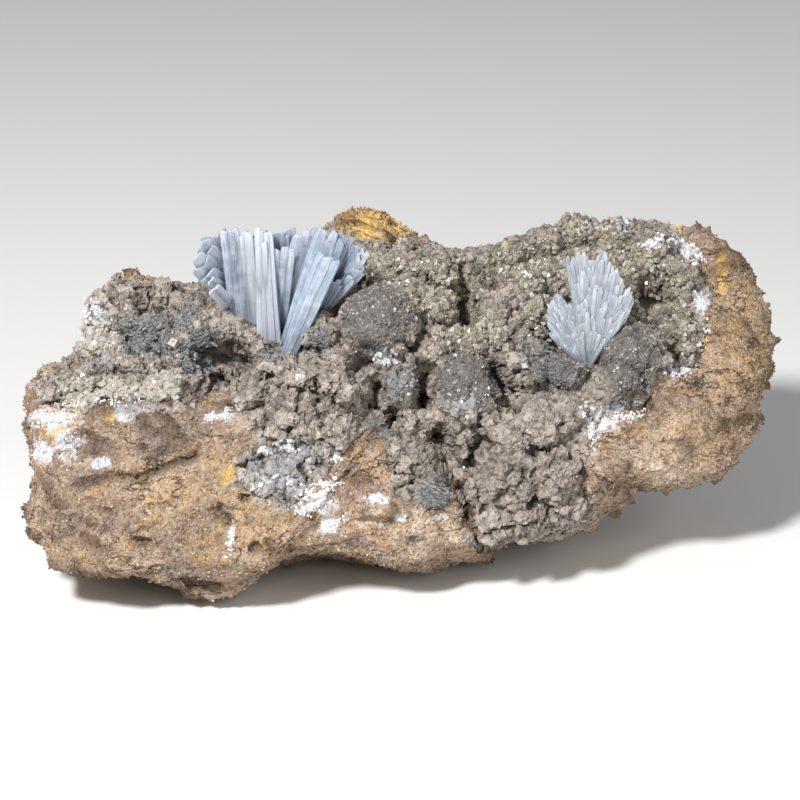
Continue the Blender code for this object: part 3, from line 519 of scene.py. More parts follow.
ROCK_COLUMNS = 700
CENTRE_RINGS = 10
FACE_RINGS = 76
BACK_RINGS = 54
CENTRE_ENDS = 0.42
FACE_ENDS = 1.1
BED_SLOPE = 1.3
BED_DEEPEST = 9.5


def ledges(points):
    """Height of the broken ledges and bumps of the bare rock, broader and higher towards the back."""
    flattened = points * np.array([0.55, 1.4, 1.0])
    behind = np.clip(-points[..., 2] / BACK_DEPTH, 0.0, 1.0)
    return 1.5 * rough_noise(flattened, 9.0, salt=11) + 2.4 * behind * rough_noise(points, 24.0, salt=31)


def rock_texture(points):
    """Height of the rock's own roughness, and how deep each point lies in a pit or a crack: crests and
    terraces of a few millimetres, angular grains of three sizes, and pits where a cell's number is high."""
    tilted = points * np.array([0.75, 1.35, 1.0]) + 0.35 * points[..., 1:2] * np.array([1.0, 0.0, 0.0])
    height = 0.6 * ridge_noise(tilted, 9.0, salt=41, octaves=2) + 0.3 * rough_noise(points, 3.2, salt=45)
    near, far, offset, owner = grains(tilted, 2.9, salt=51)
    tilt = random_directions(owner, 52)
    height += 0.3 * (offset * tilt).sum(-1) + 0.22 * (lattice_random(owner, 50) - 0.5)
    near, far, offset, owner = grains(points, 1.15, salt=55)
    height += 0.10 * (offset * random_directions(owner, 57)).sum(-1) + 0.07 * (lattice_random(owner, 58) - 0.5)
    near, far, offset, owner = grains(points, 5.5, salt=61)
    pitted = lattice_random(owner, 62) > 0.62
    pit = np.where(pitted, ease(1.0 - near / (0.18 + 0.2 * lattice_random(owner, 63))), 0.0)
    creases = ease((ridge_noise(tilted, 13.0, salt=71, octaves=2) - 1.12) / 0.25)
    height -= 1.7 * pit + 1.4 * creases
    return height, np.clip(pit + 0.8 * creases, 0.0, 1.0)


def rock_rings():
    """Ring positions in rims from the middle of the face to the middle of the back, closest on the bare part
    of the face."""
    centre = np.linspace(0.0, CENTRE_ENDS, CENTRE_RINGS, endpoint=False)
    face = np.linspace(CENTRE_ENDS, FACE_ENDS, FACE_RINGS, endpoint=False)
    back = np.linspace(FACE_ENDS, 2.0, BACK_RINGS)
    return np.concatenate([centre, face, back])


def rock_surface():
    """Grid of points of the finished rock, ring by ring, with its masks. A point is the envelope plus the
    ledges, less the bed under the crust, plus the texture along the surface's own normal."""
    angle = np.linspace(0.0, 2.0 * math.pi, ROCK_COLUMNS, endpoint=False)
    reach = rock_rings()[:, None] * rim_radius(angle)
    places = np.stack([RIM_STRETCH * reach * np.cos(angle), reach * np.sin(angle)], axis=-1)
    points, directions = envelope(places)
    inside = inside_crust(places)
    bed = np.minimum(BED_SLOPE * np.maximum(inside, 0.0), BED_DEEPEST)
    clefts = HOLES_DEEPER * hole_depths(points, CRUST_HOLES) * np.clip(1.0 + inside / 1.5, 0.0, 1.0)
    pits = hole_depths(points, ROCK_HOLES)
    points = points + directions * (ledges(points) - np.maximum(bed, clefts) - pits)[..., None]
    normals = grid_normals(points, closed_round=True)
    height, hollow = rock_texture(points)
    finished = points + normals * height[..., None]
    masks = {
        "white": patch(points, ROCK_WHITE, 201, softness=0.9, wobble=0.5, size=3.0),
        "quartz": patch(points, QUARTZ_PATCHES, 205),
        "orange": patch(points, ROCK_ORANGE, 209, softness=0.7, wobble=0.45),
        "grey": patch(points, ROCK_GREY, 213, softness=0.8, wobble=0.8, size=5.0),
        "golden": patch(points, ROCK_GOLDEN, 217, softness=0.8, wobble=0.4),
        "sandy": patch(points, ROCK_SANDY, 245, softness=0.8, wobble=0.4),
        # Painted shade: how dark the rock is painted in its pits, cracks and clefts, where shade falls.
        "hollow": np.clip(hollow + 0.5 * pits + 0.3 * clefts, 0.0, 1.0),
    }
    front = ease((points[..., 2] - RIM_OUT_PER_UP * points[..., 1] + 6.0) / 6.0)
    for name in ("white", "quartz"):
        masks[name] *= front
    bare = (0.15 + 0.85 * front) * (inside < 0.6)
    return finished, masks, bare


def build_rock_skin(amount, material):
    """The rock as one closed surface, with its grains: rings joined round, a single point at each pole,
    pressed flat where it meets the floor."""
    points, masks, bare = rock_surface()
    rings = len(points)
    whole = points[1:-1].reshape(-1, 3)
    whole = np.vstack([whole, points[0].mean(axis=0), points[-1].mean(axis=0)])
    low = np.arange((rings - 3) * ROCK_COLUMNS)
    beside = low - low % ROCK_COLUMNS + (low + 1) % ROCK_COLUMNS
    quads = np.stack([low, low + ROCK_COLUMNS, beside + ROCK_COLUMNS, beside], axis=-1)
    first = np.arange(ROCK_COLUMNS)
    after = (first + 1) % ROCK_COLUMNS
    last = first + (rings - 3) * ROCK_COLUMNS
    face_pole, back_pole = len(whole) - 2, len(whole) - 1
    caps = np.vstack(
        [
            np.stack([np.full_like(first, face_pole), first, after], axis=-1),
            np.stack([np.full_like(last, back_pole), last - first + after, last], axis=-1),
        ]
    )
    values = {}
    for name, mask in masks.items():
        values[name] = np.concatenate([mask[1:-1].ravel(), [mask[0].mean()], [mask[-1].mean()]])
    made = mesh_object("rock_skin", whole, [quads, caps], values, material, smooth=False)
    level = np.empty(len(whole) * 3, np.float32)
    made.data.vertices.foreach_get("co", level)
    level[2::3] = np.maximum(level[2::3], 0.0)
    made.data.vertices.foreach_set("co", level)
    made.data.update()
    facing = ease(2.0 * grid_normals(points, closed_round=True)[..., 2])
    lifted = bare * (0.1 + 0.9 * facing) * (to_world(points)[..., 2] > 0.001)
    return made, build_rock_grains(points, masks, lifted, amount, material)


# The grey crust

CRUST_STEP = 0.30
CRUST_MARGIN = 2.6
CRUST_BACKING = 9.0
CORE_ACROSS = 0.85
CORE_UP = 0.4
CORE_BEHIND = 3.0
EDGE_DIVE = 1.7
EDGE_DEEPEST = 3.2
SEAM_ACROSS = 9.0


def lump_heights(points):
    """Height of the rounded lumps: the tallest of the half spheres that cover each point."""
    tallest = np.zeros(points.shape[:-1])
    for across, up, radius in CRUST_LUMPS:
        share = np.linalg.norm(points - face_point(across, up), axis=-1) / (1.15 * radius)
        tallest = np.maximum(tallest, LUMP_HEIGHT * radius * np.sqrt(np.maximum(1.0 - share**2, 0.0)))
    return tallest


def plates(points, salt):
    """Height of stacked angular plates with cracks between them: each grain is a tilted flat at its own
    level, and a crack runs where two grains meet. Returns the height, the crack and each grain's number."""
    near, far, offset, owner = grains(points, 2.3, salt)
    level = lattice_random(owner, salt + 1) - 0.5
    crack = np.exp(-(((far - near) / 0.09) ** 2))
    height = 0.55 * level + 0.75 * (offset * random_directions(owner, salt + 2)).sum(-1) - 0.45 * crack
    number = lattice_random(owner, salt + 6)
    near, far, offset, owner = grains(points, 1.0, salt + 7)
    small_crack = np.exp(-(((far - near) / 0.12) ** 2))
    height += 0.28 * (offset * random_directions(owner, salt + 8)).sum(-1) - 0.14 * small_crack
    return height, np.clip(crack + 0.45 * small_crack, 0.0, 1.0), number


def leaf_directions(points, salt):
    """The direction across the leaves of each point's stack, and how near the point is to the stack's edge."""
    near, far, offset, owner = grains(points, 5.0, salt)
    direction = random_directions(owner, salt + 1) * np.array([0.5, 1.0, 0.35])
    return direction / np.maximum(np.linalg.norm(direction, axis=-1, keepdims=True), 1e-6), far - near


def leaves(points, salt):
    """Height of thin leaves packed on edge, in stacks of several millimetres: a sawtooth along each stack's
    own direction, bent by noise. Returns the height and the gap between leaves."""
    direction, from_edge = leaf_directions(points, salt)
    run = (points * direction).sum(-1) / 0.85 + 0.8 * rough_noise(points, 3.0, salt + 5)
    part = run - np.floor(run)
    gap = np.exp(-(((part - 0.05) / 0.14) ** 2)) + np.exp(-(((part - 1.05) / 0.14) ** 2))
    split = np.exp(-((from_edge / 0.05) ** 2))
    return 0.5 * part - 0.35 * gap - 0.5 * split, np.clip(gap + split, 0.0, 1.0)


def crust_base(places, inside):
    """Grid of points of the crust with its lumps and holes but no texture, diving into the rock past its
    edge, and the backing: each envelope point moved towards the core of the rock."""
    points, directions = envelope(places)
    full = np.clip(inside / CRUST_THIN_EDGE, 0.0, 1.0)
    texture = 0.7 * rough_noise(points, 4.5, salt=3, octaves=2)
    holes = HOLES_DEEPER * hole_depths(points, CRUST_HOLES)
    lift = 0.3 + full * (lump_heights(points) + texture - LUMP_SINK) - np.clip(full + 0.4, 0.0, 1.0) * holes
    lift = np.maximum(lift, -DEEPEST_HOLE)
    dive = np.clip(-EDGE_DIVE * (inside - 0.4), 0.0, EDGE_DEEPEST)
    lift = lift + np.where(inside < 0.4, ledges(points) * 0.5, 0.0) - dive
    across, up = CORE_ACROSS * points[..., 0], CORE_UP * points[..., 1]
    core = np.stack([across, up, RIM_OUT_PER_ACROSS * across + RIM_OUT_PER_UP * up - CORE_BEHIND], axis=-1)
    inward = core - points
    inward /= np.linalg.norm(inward, axis=-1, keepdims=True)
    return points + directions * lift[..., None], points + inward * CRUST_BACKING


def crust_texture(points, normals, masks):
    """Adds the crust's texture in three steps, each along the normals that the last one left: clods like
    those of a cauliflower, then plates or leaves, then sugary grains. Returns points and masks, among them
    the painted shade of its cracks, gaps, creases and holes."""
    bent = points + 1.6 * np.stack([smooth_noise(points, 7.0, salt) for salt in (104, 105, 106)], axis=-1)
    near, far, offset, owner = grains(bent, 5.2, salt=101)
    clod = np.sqrt(np.clip((far - near) / 0.28, 0.0, 1.0))
    cleft = ease(0.35 + 1.7 * smooth_noise(points, 8.0, salt=107))
    tilted = 0.8 * (lattice_random(owner, 108) - 0.5) + 1.0 * (offset * random_directions(owner, 109)).sum(-1)
    calm = 1.0 - 0.75 * masks["dome"] - 0.3 * masks["golden"]
    points = points + normals * (calm * ((0.35 + 2.0 * cleft) * (clod - 0.8) + clod * tilted))[..., None]
    normals = grid_normals(points)
    near, far, _, owner = grains(points, 2.4, salt=111)
    knob = np.sqrt(np.clip((far - near) / 0.4, 0.0, 1.0))
    points = points + normals * (0.28 * (knob - 0.7) * (1.0 - 0.5 * masks["leafy"]))[..., None]
    normals = grid_normals(points)
    plate_height, crack, number = plates(points, 121)
    leaf_height, gap = leaves(points, 141)
    leafy = masks["leafy"]
    sugary = np.clip(masks["golden"] + 0.8 * masks["dome"], 0.0, 1.0)
    near, far, offset, owner = grains(points, 0.75, salt=161)
    sugar = 0.25 * (offset * random_directions(owner, 163)).sum(-1) - 0.3 * near + 0.15
    flaky = (1.0 - leafy) * (1.0 - 0.65 * sugary)
    height = 0.8 * flaky * plate_height + 0.9 * leafy * leaf_height + 0.7 * sugary * sugar
    # Painted shade: darker in the cracks between plates, the gaps between leaves, the creases between clods and knobs,
    # and the holes.
    dark = 0.7 * flaky * crack + leafy * gap + (0.2 + 0.9 * cleft) * (0.75 - clod) + 0.2 * (0.6 - knob)
    masks["hollow"] = np.clip(dark + masks["hole"], 0.0, 1.0)
    masks["clod"] = 0.5 * number + 0.5 * lattice_random(owner, 166)
    return points + normals * height[..., None], masks


def crust_surface():
    """Grid of finished crust points over the unrolled face, the backing behind it, how far inside each place
    lies, and the masks."""
    outline = unroll(*np.array(CRUST_EDGE, float).T)
    low, high = outline.min(axis=0) - CRUST_MARGIN, outline.max(axis=0) + CRUST_MARGIN
    across, up = np.meshgrid(np.arange(low[0], high[0], CRUST_STEP), np.arange(low[1], high[1], CRUST_STEP))
    places = np.stack([across, up], axis=-1)
    inside = inside_crust(places)
    points, backing = crust_base(places, inside)
    masks = {
        "slate": patch(points, SLATE_PATCHES, 221, softness=0.9, wobble=0.5),
        "golden": patch(points, GOLDEN_PATCHES, 225, softness=0.4),
        "pale": patch(points, PALE_PATCHES, 229, softness=0.5, wobble=0.5),
        "dome": patch(points, DOME_PATCHES, 233, wobble=0.15),
        "dark": patch(points, DARK_PATCHES, 249, softness=0.8, wobble=0.5),
        "white": patch(points, CRUST_WHITE, 237, softness=0.7, wobble=0.6, size=2.5),
        "quartz": patch(points, QUARTZ_PATCHES, 205, softness=0.6, wobble=0.5),
    }
    masks["hole"] = np.clip(hole_depths(points, CRUST_HOLES) / 4.0, 0.0, 1.0)
    masks["leafy"] = masks["slate"] * ease(0.5 + 1.5 * smooth_noise(points, 9.0, 241))
    points, masks = crust_texture(points, grid_normals(points), masks)
    return points, backing, inside, masks


def slab(name, points, backing, cells, masks, material):
    """A closed mesh from the chosen cells of a grid of points, the same cells of the backing turned round,
    and a wall along every side that only one cell has."""
    rows, columns = points.shape[:2]
    corner = np.arange(rows * columns).reshape(rows, columns)
    low, beside = corner[:-1, :-1][cells], corner[:-1, 1:][cells]
    above, across = corner[1:, :-1][cells], corner[1:, 1:][cells]
    front = np.stack([low, beside, across, above], axis=-1)
    sides = np.concatenate([front[:, [0, 1]], front[:, [1, 2]], front[:, [2, 3]], front[:, [3, 0]]])
    key = np.sort(sides, axis=1)
    _, first, count = np.unique(key[:, 0] * (rows * columns) + key[:, 1], return_index=True, return_counts=True)
    edge = sides[first[count == 1]]
    used, compact = np.unique(front, return_inverse=True)
    front = compact.reshape(front.shape)
    edge = np.searchsorted(used, edge)
    behind = len(used)
    wall = np.stack([edge[:, 1], edge[:, 0], edge[:, 0] + behind, edge[:, 1] + behind], axis=-1)
    whole = np.vstack([points.reshape(-1, 3)[used], backing.reshape(-1, 3)[used]])
    values = {label: np.tile(mask.ravel()[used], 2) for label, mask in masks.items()}
    return mesh_object(name, whole, [front, front[:, ::-1] + behind, wall], values, material, smooth=False)


def build_crust_skin(material):
    """The crust in two halves that meet in a cleft, and the grid of its surface for the crystals on it."""
    points, backing, inside, masks = crust_surface()
    middle = 0.25 * (inside[:-1, :-1] + inside[1:, :-1] + inside[:-1, 1:] + inside[1:, 1:])
    kept = middle > -EDGE_DEEPEST / EDGE_DIVE
    left = np.broadcast_to(points[:-1, :-1, 0] < SEAM_ACROSS, kept.shape)
    first = slab("crust_left", points, backing, kept & left, masks, material)
    second = slab("crust_right", points, backing, kept & ~left, masks, material)
    return [first, second], points, inside, masks


# Crystals on the crust

BLOCK_CORNERS = np.array([(x, y, z) for x in (-0.5, 0.5) for y in (-0.5, 0.5) for z in (-0.5, 0.5)])
BLOCK_FACES = [np.array([(0, 1, 3, 2), (4, 6, 7, 5), (0, 4, 5, 1), (2, 3, 7, 6), (0, 2, 6, 4), (1, 5, 7, 3)])]
BLOCK = (BLOCK_CORNERS, BLOCK_FACES)


def six_sided():
    """A stubby quartz crystal: a six-sided prism with a six-sided point at both ends."""
    turn = np.arange(6) * math.pi / 3
    ring = np.stack([0.45 * np.cos(turn), 0.45 * np.sin(turn)], axis=-1)
    corners = np.vstack([np.insert(ring, 2, -0.2, axis=1), np.insert(ring, 2, 0.2, axis=1), [(0, 0, -0.6), (0, 0, 0.6)]])
    low = np.arange(6)
    after = (low + 1) % 6
    walls = np.stack([low, after, after + 6, low + 6], axis=-1)
    points = [np.stack([after, low, np.full(6, 12)], axis=-1), np.stack([low + 6, after + 6, np.full(6, 13)], axis=-1)]
    return corners, [walls, np.vstack(points)]


def rotations(random, count):
    """Random rotation matrices from random unit quaternions."""
    w, x, y, z = np.moveaxis(random.normal(size=(count, 4)), -1, 0)
    length = np.sqrt(w * w + x * x + y * y + z * z)
    w, x, y, z = w / length, x / length, y / length, z / length
    rows = [
        [1 - 2 * (y * y + z * z), 2 * (x * y - w * z), 2 * (x * z + w * y)],
        [2 * (x * y + w * z), 1 - 2 * (x * x + z * z), 2 * (y * z - w * x)],
        [2 * (x * z - w * y), 2 * (y * z + w * x), 1 - 2 * (x * x + y * y)],
    ]
    return np.moveaxis(np.array(rows), -1, 0)


def leaned(random, normals, lean):
    """Rotation matrices whose third axis is the normal, leaned by a random amount, with a random spin."""
    third = normals + lean * random.normal(size=normals.shape)
    third /= np.linalg.norm(third, axis=-1, keepdims=True)
    first = np.cross(third, random.normal(size=normals.shape))
    first /= np.linalg.norm(first, axis=-1, keepdims=True)
    return np.stack([first, np.cross(third, first), third], axis=-1)


def crystal_cloud(name, places, sizes, random, material, shape=BLOCK, turns=None, proportions=(1, 1, 1),
                  skew=0.2, uneven=0.3, broken=0.0, extra=None):
    """Many small crystals as one mesh: one shape, given proportions, stretched, skewed and broken a little by
    random amounts, turned, scaled to its size and set at its place. Each has a random number of its own."""
    count = len(places)
    corners, faces = shape
    stretched = corners[None] * np.array(proportions) * (1.0 + uneven * random.uniform(-1.0, 1.0, (count, 1, 3)))
    stretched[..., 0] += skew * stretched[..., 1] * random.uniform(-1.0, 1.0, (count, 1))
    stretched[..., 1] += skew * stretched[..., 2] * random.uniform(-1.0, 1.0, (count, 1))
    stretched += broken * random.uniform(-1.0, 1.0, stretched.shape) * np.array(proportions)
    if turns is None:
        turns = rotations(random, count)
    turned = np.einsum("nij,nkj->nki", turns, stretched) * sizes[:, None, None] + places[:, None]
    first = len(corners) * np.arange(count)[:, None, None]
    whole = [(group[None] + first).reshape(-1, group.shape[1]) for group in faces]
    values = {"own": np.repeat(random.random(count), len(corners))}
    for label, given in (extra or {}).items():
        values[label] = np.repeat(given, len(corners))
    return mesh_object(name, turned.reshape(-1, 3), whole, values, material, smooth=False)


def cell_areas(points, closed_round=False):
    """Area that each point of a grid stands for."""
    if closed_round:
        along = 0.5 * (np.roll(points, -1, axis=1) - np.roll(points, 1, axis=1))
    else:
        along = np.gradient(points, axis=1)
    return np.linalg.norm(np.cross(along, np.gradient(points, axis=0)), axis=-1)


def pick(random, weight, amount):
    """Grid places chosen at random by weight, each once."""
    chance = (weight / weight.sum()).ravel()
    return random.choice(len(chance), size=amount, replace=False, p=chance)


DARKER_SLATE_FROM = 20.0
LAID_ON_CRUST = ("slate", "golden", "dome", "dark", "pale", "white", "quartz")


def build_crumbs(points, inside, masks, amount, material):
    """Angular crumbs of the crust, flat side out, half sunk, thickest where it is taupe."""
    random = np.random.default_rng(21)
    bare = (1.0 - 0.9 * masks["golden"]) * (1.0 - 0.85 * masks["dome"]) * (1.0 - 0.6 * masks["leafy"])
    bare = bare * (1.0 - 0.8 * masks["pale"]) * (1.0 - 0.5 * masks["quartz"])
    chosen = pick(random, bare * (inside > -0.3), amount)
    normals = grid_normals(points).reshape(-1, 3)[chosen]
    sizes = 0.4 + 1.2 * random.random(amount) ** 2.8
    places = points.reshape(-1, 3)[chosen] - normals * (0.14 * sizes)[:, None]
    extra = {label: masks[label].ravel()[chosen] for label in LAID_ON_CRUST}
    extra["clod"] = random.random(amount)
    # The crumbs carry three quarters of the painted shade of the crust under them.
    extra["hollow"] = 0.75 * masks["hollow"].ravel()[chosen]
    turns = leaned(random, normals, 0.16)
    return crystal_cloud("crust_crumbs", places, sizes, random, material, turns=turns,
                         proportions=(1.0, 0.8, 0.34), broken=0.18, extra=extra)


def build_leaves(points, inside, masks, amount, material):
    """Thin leaves of the slate-grey clods, standing on edge and packed side by side."""
    random = np.random.default_rng(22)
    chosen = pick(random, masks["slate"] * (inside > 0.5) * (1.0 - masks["hole"]), amount)
    place = points.reshape(-1, 3)[chosen]
    normals = grid_normals(points).reshape(-1, 3)[chosen]
    turns = leaned(random, leaf_directions(place, 141)[0], 0.12)
    sizes = 0.8 + 1.3 * random.random(amount) ** 1.5
    darker = np.where(place[:, 0] > DARKER_SLATE_FROM, 0.5, 0.0)
    extra = {"slate": np.ones(amount), "clod": np.clip(random.random(amount) + darker, 0.0, 1.0)}
    return crystal_cloud("slate_leaves", place - normals * (0.42 * sizes)[:, None], sizes, random, material,
                         turns=turns, proportions=(1.0, 0.8, 0.22), broken=0.08, extra=extra)


def build_rock_grains(points, masks, bare, amount, material):
    """Sugary grains of the bare rock, half sunk."""
    random = np.random.default_rng(23)
    chosen = pick(random, bare * cell_areas(points, closed_round=True), amount)
    normals = grid_normals(points, closed_round=True).reshape(-1, 3)[chosen]
    sizes = 0.26 + 0.36 * random.random(amount) ** 2.4
    places = points.reshape(-1, 3)[chosen] - normals * (0.36 * sizes)[:, None]
    # The grains carry the rock's masks, the painted shade of the hollows among them.
    extra = {label: mask.ravel()[chosen] for label, mask in masks.items()}
    return crystal_cloud("rock_grains", places, sizes, random, material, proportions=(1.0, 0.85, 0.7),
                         broken=0.12, extra=extra)


def build_druse(points, inside, masks, amount, material):
    """The druse: blocky crystals up to a millimetre or so, thick over the golden parts, on the domes and
    sprinkled elsewhere."""
    random = np.random.default_rng(7)
    weight = 0.012 + masks["golden"] + 0.9 * masks["dome"] + 0.7 * masks["pale"]
    chosen = pick(random, weight * (inside > 0.5), amount)
    normals = grid_normals(points).reshape(-1, 3)[chosen]
    golden = np.clip(masks["golden"] + masks["pale"], 0, 1).ravel()[chosen]
    dome = masks["dome"].ravel()[chosen]
    sizes = (0.2 + 0.85 * random.random(amount) ** 3.6) * (0.85 + 0.2 * golden - 0.3 * dome)
    places = points.reshape(-1, 3)[chosen] + normals * (0.02 * sizes)[:, None]
    extra = {"golden": golden, "pale": masks["pale"].ravel()[chosen]}
    return crystal_cloud("druse_crystals", places, sizes, random, material, broken=0.06, extra=extra)


# Pale crystals and quartz at their own places: (across, up, size), and heaps:
# (across, up, half width, half height, turn in degrees, how many, smallest, largest)
CREAM_CRYSTALS = [(-46.7, 11.7, 1.7), (-48.4, 7.4, 1.9), (-17, -6.4, 1.8), (-49, 10, 1.3), (-46, 9.2, 1.1)]
WHITE_HEAPS = [
    (-17.0, -19.2, 3.6, 1.8, 38, 1500, 0.25, 0.6), (-65.0, 16.4, 2.6, 3.4, 0, 480, 0.35, 0.9),
    (61.1, 32.6, 4.8, 2.2, -28, 420, 0.3, 0.9), (-4.2, 8.9, 4.4, 0.9, -14, 160, 0.25, 0.6),
    (54.5, 33.2, 2.6, 1.0, 0, 70, 0.4, 0.9), (39.2, -5.6, 1.3, 4.2, 12, 190, 0.3, 0.7),
    (-22.5, -9.5, 1.6, 1.2, 0, 50, 0.4, 0.9), (-12.8, -12.0, 1.0, 0.8, 0, 24, 0.4, 0.8),
    (-20.4, 4.5, 1.0, 0.6, 0, 16, 0.4, 0.7), (-34, -27.6, 0.6, 4.0, -8, 50, 0.22, 0.5),
    (-58, 0.2, 8.0, 1.2, 4, 170, 0.25, 0.6), (63.6, 19, 1.2, 5.6, 8, 210, 0.25, 0.6),
    (26.6, 13.6, 0.6, 0.6, 0, 6, 0.7, 1.1), (26.5, 26.0, 0.6, 0.6, 0, 5, 0.7, 1.1),
    (58.4, 5.9, 3.0, 0.9, 10, 90, 0.3, 0.7), (-72.0, -4, 6.0, 2.6, 8, 170, 0.2, 0.5),
    (-67.5, -9, 3.4, 4.0, 0, 110, 0.2, 0.5), (-13, -25, 2.6, 1.2, 30, 70, 0.22, 0.5),
    (45, -3.6, 6.0, 1.2, 8, 120, 0.25, 0.6), (-36, -2.6, 4.0, 1.0, 20, 60, 0.25, 0.6),
]  # fmt: skip
CLEAR_HEAPS = [
    (12.5, -1.2, 4.6, 1.8, 6, 44, 0.9, 1.9), (45, -1.2, 5.4, 1.6, 10, 50, 0.9, 2.0),
    (6.6, 32.6, 1.6, 1.4, 0, 10, 1.4, 2.4), (44.5, 37.4, 5.6, 1.2, 4, 44, 0.9, 2.0),
    (-23.5, -13.0, 7.0, 5.0, 20, 120, 0.7, 2.2), (-20.2, -16.0, 0.5, 0.5, 0, 2, 2.2, 2.6),
    (2.2, 4.2, 3.4, 2.8, 0, 50, 0.6, 1.4), (-62, 7.6, 4.4, 1.6, 20, 40, 0.7, 1.6),
    (17, 30.5, 3.0, 2.0, 0, 20, 0.8, 1.8),
]  # fmt: skip


def nearest_front(targets, surface):
    """For each (across, up) target, the surface point nearest to it seen square on."""
    found = np.empty(len(targets), int)
    for start in range(0, len(targets), 64):
        some = targets[start : start + 64]
        away = (surface[None, :, 0] - some[:, :1]) ** 2 + (surface[None, :, 1] - some[:, 1:]) ** 2
        found[start : start + 64] = away.argmin(axis=1)
    return found


def heap_places(heaps, random):
    """Targets and sizes of the crystals of every heap, thickest in its middle."""
    targets, sizes = [], []
    for across, up, half_width, half_height, turn, count, smallest, largest in heaps:
        spot = random.normal(scale=0.5, size=(count, 2)) * [half_width, half_height]
        angle = math.radians(turn)
        spin = np.array([[math.cos(angle), math.sin(angle)], [-math.sin(angle), math.cos(angle)]])
        targets.append(spot @ spin + [across, up])
        sizes.append(smallest + (largest - smallest) * random.random(count) ** 1.5)
    return np.concatenate(targets), np.concatenate(sizes)


def build_heaps(name, heaps, seed, surface, material, sink, shape):
    """Crystals heaped at the places of a list, on whatever is frontmost there."""
    random = np.random.default_rng(seed)
    targets, sizes = heap_places(heaps, random)
    places = surface[nearest_front(targets, surface)] + np.array([0.0, 0.0, 1.0]) * (sink * sizes)[:, None]
    places[:, :2] = 0.5 * places[:, :2] + 0.5 * targets
    return crystal_cloud(name, places, sizes, random, material, shape=shape)


# The barite fans

LATH_PROFILE = np.array([(-0.5, 0.0), (-0.43, 0.46), (0.0, 0.5), (0.43, 0.46), (0.5, 0.0), (0.43, -0.46),
                         (0.0, -0.5), (-0.43, -0.46)])  # fmt: skip
LATH_STATIONS = np.array([0.0, 0.2, 0.4, 0.6, 0.78, 0.9, 0.97, 1.0])


def lath_sections(foot, tip, width, thickness, foot_share, count, overlap, ragged, tip_width, tip_depth, random):
    """Sections of the parallel laths that one tabular blade is made of. The blade widens from a share
    of its width at the foot. Each lath ends a little short of the tip by its own amount, stands a little proud or back,
    is twisted a few degrees, and closes in a chisel."""
    length = np.linalg.norm(tip - foot)
    along = (tip - foot) / length
    sideways = np.cross(along, [0.0, 0.0, 1.0])
    sideways /= np.linalg.norm(sideways)
    forward = np.cross(sideways, along)
    edges = np.linspace(-0.5, 0.5, count + 1)
    edges[1:-1] += random.uniform(-0.25, 0.25, count - 1) / count
    middle, broad = 0.5 * (edges[1:] + edges[:-1]), np.diff(edges)
    reach = 1.0 - ragged * random.random(count) ** 1.6 - 0.10 * (2.0 * np.abs(middle)) ** 3
    share = LATH_STATIONS[None, :] * reach[:, None]
    spread = np.interp(share, [0.0, 0.45, 0.9, 1.0], [foot_share, 0.3 * foot_share + 0.7, 1.0, 1.04])
    taper = np.interp(LATH_STATIONS, [0.0, 0.9, 0.97, 1.0], [1.0, 1.0, 0.5 + 0.5 * tip_width, tip_width])
    deep = np.interp(LATH_STATIONS, [0.0, 0.6, 1.0], [0.8, 1.0, tip_depth])
    profile = LATH_PROFILE.copy()
    twist = np.radians(random.normal(scale=4.0, size=count))
    cosine, sine = np.cos(twist)[:, None, None], np.sin(twist)[:, None, None]
    lath_width = np.maximum(broad * width * overlap, 0.35)[:, None, None] * (spread * taper)[..., None]
    bulk = thickness * random.uniform(0.72, 1.0, count)
    rounding = 1.0 - 0.5 * (2.0 * np.abs(middle)) ** 4
    lath_depth = (bulk * rounding)[:, None, None] * (deep * taper)[None, :, None]
    x = profile[:, 0] * lath_width
    y = profile[:, 1] * lath_depth
    x, y = x * cosine - y * sine, x * sine + y * cosine
    x = x + (middle * width)[:, None, None] * spread[..., None]
    y = y + random.normal(scale=0.08, size=count)[:, None, None]
    slant = random.uniform(-0.9, 0.9, count)[:, None, None] * profile[:, 0] * lath_width
    z = (share * length)[..., None] + slant * (LATH_STATIONS > 0.85)[:, None]
    points = foot + x[..., None] * sideways + y[..., None] * forward + z[..., None] * along
    rim = np.broadcast_to(2.0 * np.abs(profile[:, 0]), x.shape)
    return points, x, np.broadcast_to(z, x.shape), np.broadcast_to(share[..., None], x.shape), rim


def leaf_blades(random):
    """Rows like those of LARGE_FAN_BLADES for the needles of the leaf: spread evenly along each lobe's tips,
    in layers that grow shorter towards the front."""
    rows = []
    for tips, count in LEAF_LOBES:
        corners = np.array(tips)
        run = np.concatenate([[0.0], np.cumsum(np.linalg.norm(np.diff(corners, axis=0), axis=1))])
        for shortest, longest, further_out in LEAF_LAYERS:
            at = (np.arange(count) + random.uniform(0.1, 0.9, count)) / count * run[-1]
            reach = random.uniform(shortest, longest, count)
            ends = np.stack([np.interp(at, run, corners[:, 0]), np.interp(at, run, corners[:, 1])]) * reach
            for across, up in ends.T:
                out = further_out + random.normal(scale=0.15)
                width = random.uniform(0.9, 2.1) * run[-1] / count
                shape = (width, LEAF_THICKNESS, out, 0.5, 1, random.uniform(0.3, 0.6))
                rows.append((0.06 * across, 0.06 * up - 1.5, across, up, *shape))
    return rows


